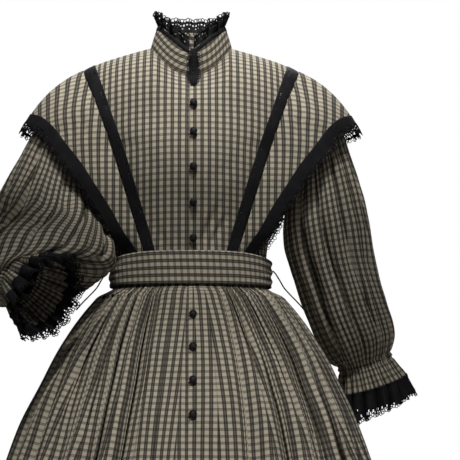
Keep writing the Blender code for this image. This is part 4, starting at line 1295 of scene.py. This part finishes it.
def skirt_oval(turn):
    """Smooth skirt points at every level, at turns round it."""
    x, y = oval(
        skirt_rows("half_width"), skirt_rows("front"), skirt_rows("back"),
        skirt_squareness(SKIRT_LEVELS)[:, None], turn,
    )
    return np.stack(np.broadcast_arrays(x, y, SKIRT_LEVELS[:, None]), axis=-1)


QUARTER = SKIRT_COLUMNS // 4
FOLD_SHARES = np.array([-0.47, -0.38, -0.27, -0.14, 0.0, 0.14, 0.27, 0.38, 0.47, 0.5])
STRONG_FOLDS = {97: 1.9, 101: 1.3, 91: 1.5, 13: 1.3, 21: 1.7, 25: 1.5, 41: 1.6, 57: 1.5, 73: 1.7}


def fold_weights(number):
    """How much cloth the fold line after each gather takes up, one column a line."""
    column = 2 * number + 1
    weight = 1 + 0.30 * np.sin(2.3 * number + 0.7) + 0.15 * np.sin(5.1 * number)
    for strong, factor in STRONG_FOLDS.items():
        weight = np.where(column == strong, weight * factor, weight)
    fades = -0.66 - 0.10 * np.sin(3.7 * number + 1.0)
    left = eased(np.clip((SKIRT_LEVELS[:, None] - fades) / 0.36 + 0.5, 0.0, 1.0))
    return weight * np.where(number % 2 == 0, 1.0, left)


def skirt_quarter(quarter):
    """Columns of a quarter of the skirt: place round the ring, place in the cloth, and depth."""
    per_gather = SKIRT_CLOTH_WIDTH / GATHERS
    numbers = quarter * QUARTER // 2 + np.arange(QUARTER // 2)
    turns = 2 * np.pi * np.linspace(quarter / 4, (quarter + 1) / 4, 241)
    edge = skirt_oval(turns[None])
    runs = arc_lengths(edge, 1)
    arc = runs[:, -1:]
    weights = fold_weights(numbers)
    hidden = (SKIRT_CLOTH_WIDTH / 4 - arc) * weights / weights.sum(axis=1, keepdims=True)
    hidden = np.clip(hidden, 0.0, 0.93 * per_gather)
    gathers = np.arange(quarter * QUARTER // 2, (quarter + 1) * QUARTER // 2 + 1)
    columns = (gathers[:, None] + FOLD_SHARES[None]).ravel() * 2
    inside = (columns >= quarter * QUARTER - 1e-9) & (columns <= (quarter + 1) * QUARTER + 1e-9)
    columns = columns[inside]
    gather = np.round(columns / 2 - 1e-6)
    share = columns / 2 - gather
    none = np.zeros((len(arc), 1))
    taken = np.concatenate([none, np.cumsum(hidden, axis=1)], axis=1)
    own = np.concatenate([none, hidden, none], axis=1)
    k = (gather - gathers[0]).astype(int)
    before = own[:, k]
    after = own[:, np.minimum(k + 1, own.shape[1] - 1)]
    low = -per_gather / 2 + before / 2
    high = per_gather / 2 - after / 2
    first, last = k == 0, k == k[-1]
    middle = np.where(first | last, 0.0, (low + high) / 2)
    span = np.where(first, 2 * high, np.where(last, -2 * low, high - low))
    at_line = np.abs(np.abs(share) - 0.5) < 1e-6
    shown = middle + span * share / 0.94
    cloth = per_gather * gather + np.where(at_line, per_gather * share, np.clip(shown, low, high))
    start = per_gather * gathers[0]
    visible = per_gather * gather + np.clip(shown, low, high) - start - taken[:, k]
    visible = np.where(at_line, per_gather * (gather + share) - start - taken[:, k] - after / 2, visible)
    place = visible / (SKIRT_CLOTH_WIDTH / 4 - hidden.sum(axis=1, keepdims=True))
    slide = share_between(SKIRT_LEVELS, -0.45, -0.95)[:, None] / QUARTER
    inner = np.minimum(1, 4 * np.minimum(place, 1 - place))
    place = np.clip(place + slide * eased(inner), 0, 1)
    turn = np.stack([np.interp(p * r[-1], r, turns) for p, r in zip(place, runs)])
    shown_width = high - low
    decay = 0.10 * shown_width + 0.0022
    near_before = np.exp(-(share + 0.5) * shown_width / decay)
    near_after = np.exp(-(0.5 - share) * shown_width / decay)
    both = np.minimum(0.40 * before, 0.015) * near_before + np.minimum(0.40 * after, 0.015) * near_after
    rounded = np.minimum(both, 0.80 * shown_width)
    slit = np.where(at_line, np.minimum(0.10 * after, 0.20 * shown_width), 0.0)
    return columns, turn, cloth, rounded + slit


def skirt_waves(columns, turn):
    """The solid's own folds, read at the places round the ring."""
    place = turn / (2 * np.pi) * SKIRT_COLUMNS
    from_front = np.minimum(place % SKIRT_COLUMNS, -place % SKIRT_COLUMNS)
    calm = np.clip((from_front - SKIRT_FLAT_COLUMNS) / 3, 0.0, 1.0)
    fine = np.cos(np.pi * columns) * (1 + 0.35 * np.sin(1.37 * columns))
    number = np.floor(((place + 2) % SKIRT_COLUMNS) / 4)
    broad = np.cos(np.pi / 2 * place) * (0.85 + 0.25 * np.sin(1.7 * number))
    return calm, calm * (skirt_rows("gather") * 0.6 * fine + skirt_rows("fold") * broad)


def build_skirt():
    quarters = [skirt_quarter(q) for q in range(4)]
    panels = {
        "skirt_front_left": (quarters[:1], 0.78),
        "skirt_back": (quarters[1:3], 1.50),
        "skirt_front_right": (quarters[3:], 0.78),
    }
    below_belt = np.clip((-0.432 - SKIRT_LEVELS) / 0.012, 0.15, 1)[:, None]
    for node, (parts, flat_width) in panels.items():
        columns, turn, cloth, depth = (
            np.concatenate([part[k] for part in parts], axis=-1) for k in range(4)
        )
        if len(parts) == 2:
            keep = np.arange(len(columns)) != len(parts[0][0])
            columns, turn, cloth, depth = columns[keep], turn[:, keep], cloth[:, keep], depth[:, keep]
        grid = skirt_oval(turn)
        normals = outward(grid, (0, 0, -0.9))
        calm, waves = skirt_waves(columns[None], turn)
        waves = waves - depth * calm * below_belt
        length = arc_lengths(grid, 0).mean(axis=1)[:, None]
        if node == "skirt_front_left":
            grid, normals, waves, cloth = with_lap(grid, normals, waves, cloth, FRONT_EDGE_X, 3)
        if node == "skirt_front_right":
            flipped = [values[:, ::-1] for values in (grid, normals, waves, cloth)]
            grid, normals, waves, cloth = with_lap(*flipped, LAP_UNDER_X, 8)
        grid = grid + normals * waves[..., None]
        x, y, z = np.moveaxis(grid, -1, 0)
        drape = uneven(x + y, length, 0.085, 2.1) + 0.5 * uneven(x - y, length * 0.4, 0.030, 0.3)
        hang = share_between(z, WAIST_Z - 0.06, WAIST_Z - 0.26)
        grid = grid + normals * (drape * hang * 0.0028)[..., None]
        if node == "skirt_front_right":
            grid = grid - normals * lap_inset(grid[..., 0])[..., None]
        piece = cloth_piece(node + "_cloth", node, grid, normals, cloth, length)


def with_lap(grid, normals, waves, cloth, edge, count):
    """Adds the strip of a front panel that reaches past the centre line to its own edge."""
    strip = np.linspace(edge, 0, count + 1)[:-1]
    power = skirt_squareness(SKIRT_LEVELS)[:, None] / 2
    turn = np.sign(strip) * np.arcsin((np.abs(strip) / skirt_rows("half_width")) ** power)
    added = skirt_oval(turn)
    return (
        np.concatenate([added, grid], axis=1),
        np.concatenate([np.repeat(normals[:, :1], count, axis=1), normals], axis=1),
        np.concatenate([np.zeros_like(turn), waves], axis=1),
        np.concatenate([cloth[:, :1] + strip, cloth], axis=1),
    )


def build_belt():
    """The belt, smooth in front and crumpled towards its sides, its join at the centre back."""
    waist = BODY[0]
    turns = np.linspace(math.pi, 3 * math.pi, 281)
    heights = np.linspace(0, 1, 17)[:, None]
    stand = BELT_STAND + BELT_LEAN * heights
    x, y = oval(
        waist.half_width + stand, waist.front + stand, waist.back + stand, BODY_SQUARENESS, turns[None]
    )
    aside = np.abs(np.sin(turns)) ** 4
    top = BELT_FRONT_TOP_Z + (BELT_SIDE_TOP_Z - BELT_FRONT_TOP_Z) * aside
    bottom = BELT_FRONT_BOTTOM_Z + (BELT_SIDE_BOTTOM_Z - BELT_FRONT_BOTTOM_Z) * aside
    grid = np.stack([x, y, bottom + (top - bottom) * heights], axis=-1)
    normals = outward(grid, (0, 0, WAIST_Z))
    along = arc_lengths(grid, 1)
    crumple = share_between(np.abs(np.sin(turns)), 0.72, 1)
    ridges = np.sin(2 * np.pi * (heights * 2.6 + 0.35 * np.sin(turns * 7))) * crumple
    ridges = ridges * (1 - (2 * heights - 1) ** 6)
    ripple = 0.0004 * np.sin(along / 0.011 + 3 * heights) * (1 - crumple)
    grid = grid + normals * (0.0017 * ridges + ripple)[..., None]
    up = heights * (BELT_FRONT_TOP_Z - BELT_FRONT_BOTTOM_Z) + 0.0035
    belt = cloth_piece(
        "waist_belt", "belt", grid, normals, up, along, thickness=0.0016
    )


def build_ties():
    route = np.array(TIE_ROUTE)
    smooth = curve(np.linspace(0, 1, len(route)), route, np.linspace(0, 1, 25))
    for hand, side in SIDES:
        path = smooth * (hand, 1, 1)
        data = bpy.data.curves.new("tie_cord_" + side, "CURVE")
        data.dimensions = "3D"
        data.bevel_depth = TIE_THICKNESS / 2
        data.bevel_resolution = 3
        data.use_fill_caps = True
        spline = data.splines.new("POLY")
        spline.points.add(len(path) - 1)
        for point, place in zip(spline.points, path):
            point.co = (*place, 1.0)
        data.materials.append(CORD)
        tie = bpy.data.objects.new("tie_cord_" + side, data)
        bpy.context.scene.collection.objects.link(tie)
        finish_piece(tie, ["tie_" + side])


def front_surface(z):
    """The front's depth and how far it leans, at a height on the centre line."""
    if z > WAIST_Z:
        points = body_points(BODY_LEVELS, np.full(len(BODY_LEVELS), BUTTON_X), FRONT)
        heights, depths = points[:, 2], points[:, 1]
    else:
        heights = SKIRT_LEVELS[::-1]
        depths = -skirt_rows("front")[::-1, 0]
    y = float(np.interp(z, heights, depths))
    above = float(np.interp(z + 0.006, heights, depths))
    return y, math.atan2(above - y, 0.006)


def build_buttons():
    """Small ball buttons worked over with thread, each with a short loop at its side."""
    polar = np.linspace(0, np.pi, 15)[:, None]
    turn = 2 * np.pi * (np.arange(33) % 32) / 32
    ridge = 1 + 0.035 * np.cos(8 * turn) * np.sin(polar) ** 2
    ball = np.stack(
        [
            np.sin(polar) * np.cos(turn) * ridge,
            np.sin(polar) * np.sin(turn) * ridge,
            np.cos(polar) + 0 * turn,
        ],
        axis=-1,
    )
    across = np.array([1.0, 0, 0])
    steps = np.linspace(0, 1, 16)
    for number, z in enumerate(BUTTON_HEIGHTS, 1):
        worn = 1.06 + 0.06 * math.sin(3.1 * number)
        shape = ball * (BUTTON_RADIUS * worn, BUTTON_RADIUS * (worn + 0.08), BUTTON_DEPTH)
        y, lean = front_surface(z)
        out = np.array([0, -math.cos(lean), math.sin(lean)])
        up = np.array([0, math.sin(lean), math.cos(lean)])
        centre = np.array([BUTTON_X, y, z]) + (BUTTON_DEPTH + BUTTON_SEAT) * out
        facing = unit(out + 0.10 * math.sin(2.4 * number) * across)
        side = unit(across - facing * (across @ facing))
        points = centre + shape[..., :1] * side + shape[..., 1:2] * up + shape[..., 2:] * facing
        faces = grid_faces(points, points - centre)
        button = new_mesh(f"ball_button_{number}", points.reshape(-1, 3), faces, BUTTON_THREAD)
        apply_modifier(button, "WELD", merge_threshold=1e-6)
        loop = (
            centre - facing * (BUTTON_DEPTH * 0.7)
            - side * (BUTTON_RADIUS * 0.7 + 0.0035 * np.sin(np.pi * steps))[:, None]
            - up * (0.0030 + 0.0035 * (1 - np.cos(np.pi * steps)))[:, None]
        )
        frames = [np.tile(axis, (1, len(steps), 1)) for axis in (facing, up)]
        rings, quads = tube_rings(loop[None], *frames, 0.0006, 6, False)
        join(button, [new_mesh(f"button_loop_{number}", rings, quads, BUTTON_THREAD)])
        finish_piece(button, [f"button_{number}"])


def build_stitching():
    """A row of short upright stitches down the front's folded edge."""
    heights = np.arange(-0.405, -0.075, 0.0034)
    centres = np.array([
        [(FRONT_EDGE_X + 0.0020, front_surface(z)[0] - 0.0005, z + step)
         for step in np.linspace(-0.0010, 0.0010, 4)]
        for z in heights[heights >= BELT_FRONT_TOP_Z]
    ])
    side, out = (np.broadcast_to(axis, centres.shape) for axis in ((1.0, 0.0, 0.0), (0.0, -1.0, 0.0)))
    points, faces = tube_rings(centres, side, out, 0.00055, 5, False)
    finish_piece(new_mesh("edge_stitches", points, faces, SEWING), [])


# Stage, light and camera

ROOM_LIGHT = 0.026
PHOTO_CENTRE_X = 0.069
CAMERA_DISTANCE = 2.8
CAMERA_HEIGHT = -0.67
PHOTO_WIDTH = 0.805
LOOK_UP = 7.0


def build_stage():
    """A grey floor just under the hem, and a white wall that only the camera sees as bright."""
    bpy.ops.object.select_all(action="DESELECT")
    bpy.ops.mesh.primitive_plane_add(size=14.0, location=(0, 0, CAD_BOX[0][2] - 0.002))
    floor = bpy.context.object
    floor.name = "studio_floor"
    floor.data.materials.append(plain_material("grey_floor", (0.34, 0.34, 0.34), 0.9))
    world = bpy.data.worlds.new("studio")
    bpy.context.scene.world = world
    world.use_nodes = True
    tree = world.node_tree
    seen = tree.nodes["Background"]
    soft = tree.nodes.new("ShaderNodeBackground")
    for background, colour, strength in ((seen, (1, 1, 1, 1), 1.0), (soft, (1, 0.99, 0.97, 1), ROOM_LIGHT)):
        background.inputs["Color"].default_value = colour
        background.inputs["Strength"].default_value = strength
    path = tree.nodes.new("ShaderNodeLightPath")
    either = tree.nodes.new("ShaderNodeMixShader")
    tree.links.new(path.outputs["Is Camera Ray"], either.inputs["Fac"])
    tree.links.new(soft.outputs["Background"], either.inputs[1])
    tree.links.new(seen.outputs["Background"], either.inputs[2])
    tree.links.new(either.outputs["Shader"], tree.nodes["World Output"].inputs["Surface"])


def new_light(name, kind, place, aim, power):
    """A light at a place, turned to its aim."""
    data = bpy.data.lights.new(name, kind)
    data.energy = power
    light = bpy.data.objects.new(name, data)
    bpy.context.scene.collection.objects.link(light)
    direction = np.array(aim) - np.array(place)
    turn_z = math.atan2(direction[0], -direction[1])
    tilt = math.atan2(math.hypot(direction[0], direction[1]), -direction[2])
    light.location = place
    light.rotation_euler = (tilt, 0, turn_z + math.pi)
    return data


def area_light(name, place, aim, size, power):
    new_light(name, "AREA", place, aim, power).size = size


def spot_light(name, place, aim, half_angle, blend, power, radius):
    data = new_light(name, "SPOT", place, aim, power)
    data.spot_size = math.radians(2 * half_angle)
    data.spot_blend = blend
    data.shadow_soft_size = radius


def build_camera():
    data = bpy.data.cameras.new("camera")
    camera = bpy.data.objects.new("camera", data)
    bpy.context.scene.collection.objects.link(camera)
    camera.location = (0, -CAMERA_DISTANCE, CAMERA_HEIGHT)
    aim = math.atan2(PHOTO_CENTRE_X, CAMERA_DISTANCE)
    camera.rotation_euler = (math.radians(90 + LOOK_UP), 0, -aim)
    data.sensor_width = 36
    data.lens = 36 * CAMERA_DISTANCE / PHOTO_WIDTH
    bpy.context.scene.camera = camera


build_camera()
build_ties()
build_bodice()
build_braids()
build_wings()
build_collar()
build_sleeves()
build_skirt()
build_belt()
build_buttons()
build_stitching()
build_stage()
spot_light("shoulder_lamp", (0, -1.6, 2.2), (0, 0, 0.210), 9.4, 0.40, 385, 0.10)
spot_light("skirt_lamp", (0.2, -2.4, 1.9), (0.2, -1.13, -1.4), 25.2, 0.2, 285, 0.16)
area_light("low_front", (-0.2, -3.3, 1.0), (0, 0, -0.5), 1.2, 3)
area_light("right_fill", (2.4, -1.6, -0.4), (0.2, 0, -0.5), 0.8, 2.2)
area_light("behind", (0.4, 2.0, 2.4), (0, 0, -0.5), 1.4, 72)
bpy.context.scene.view_settings.view_transform = "Standard"
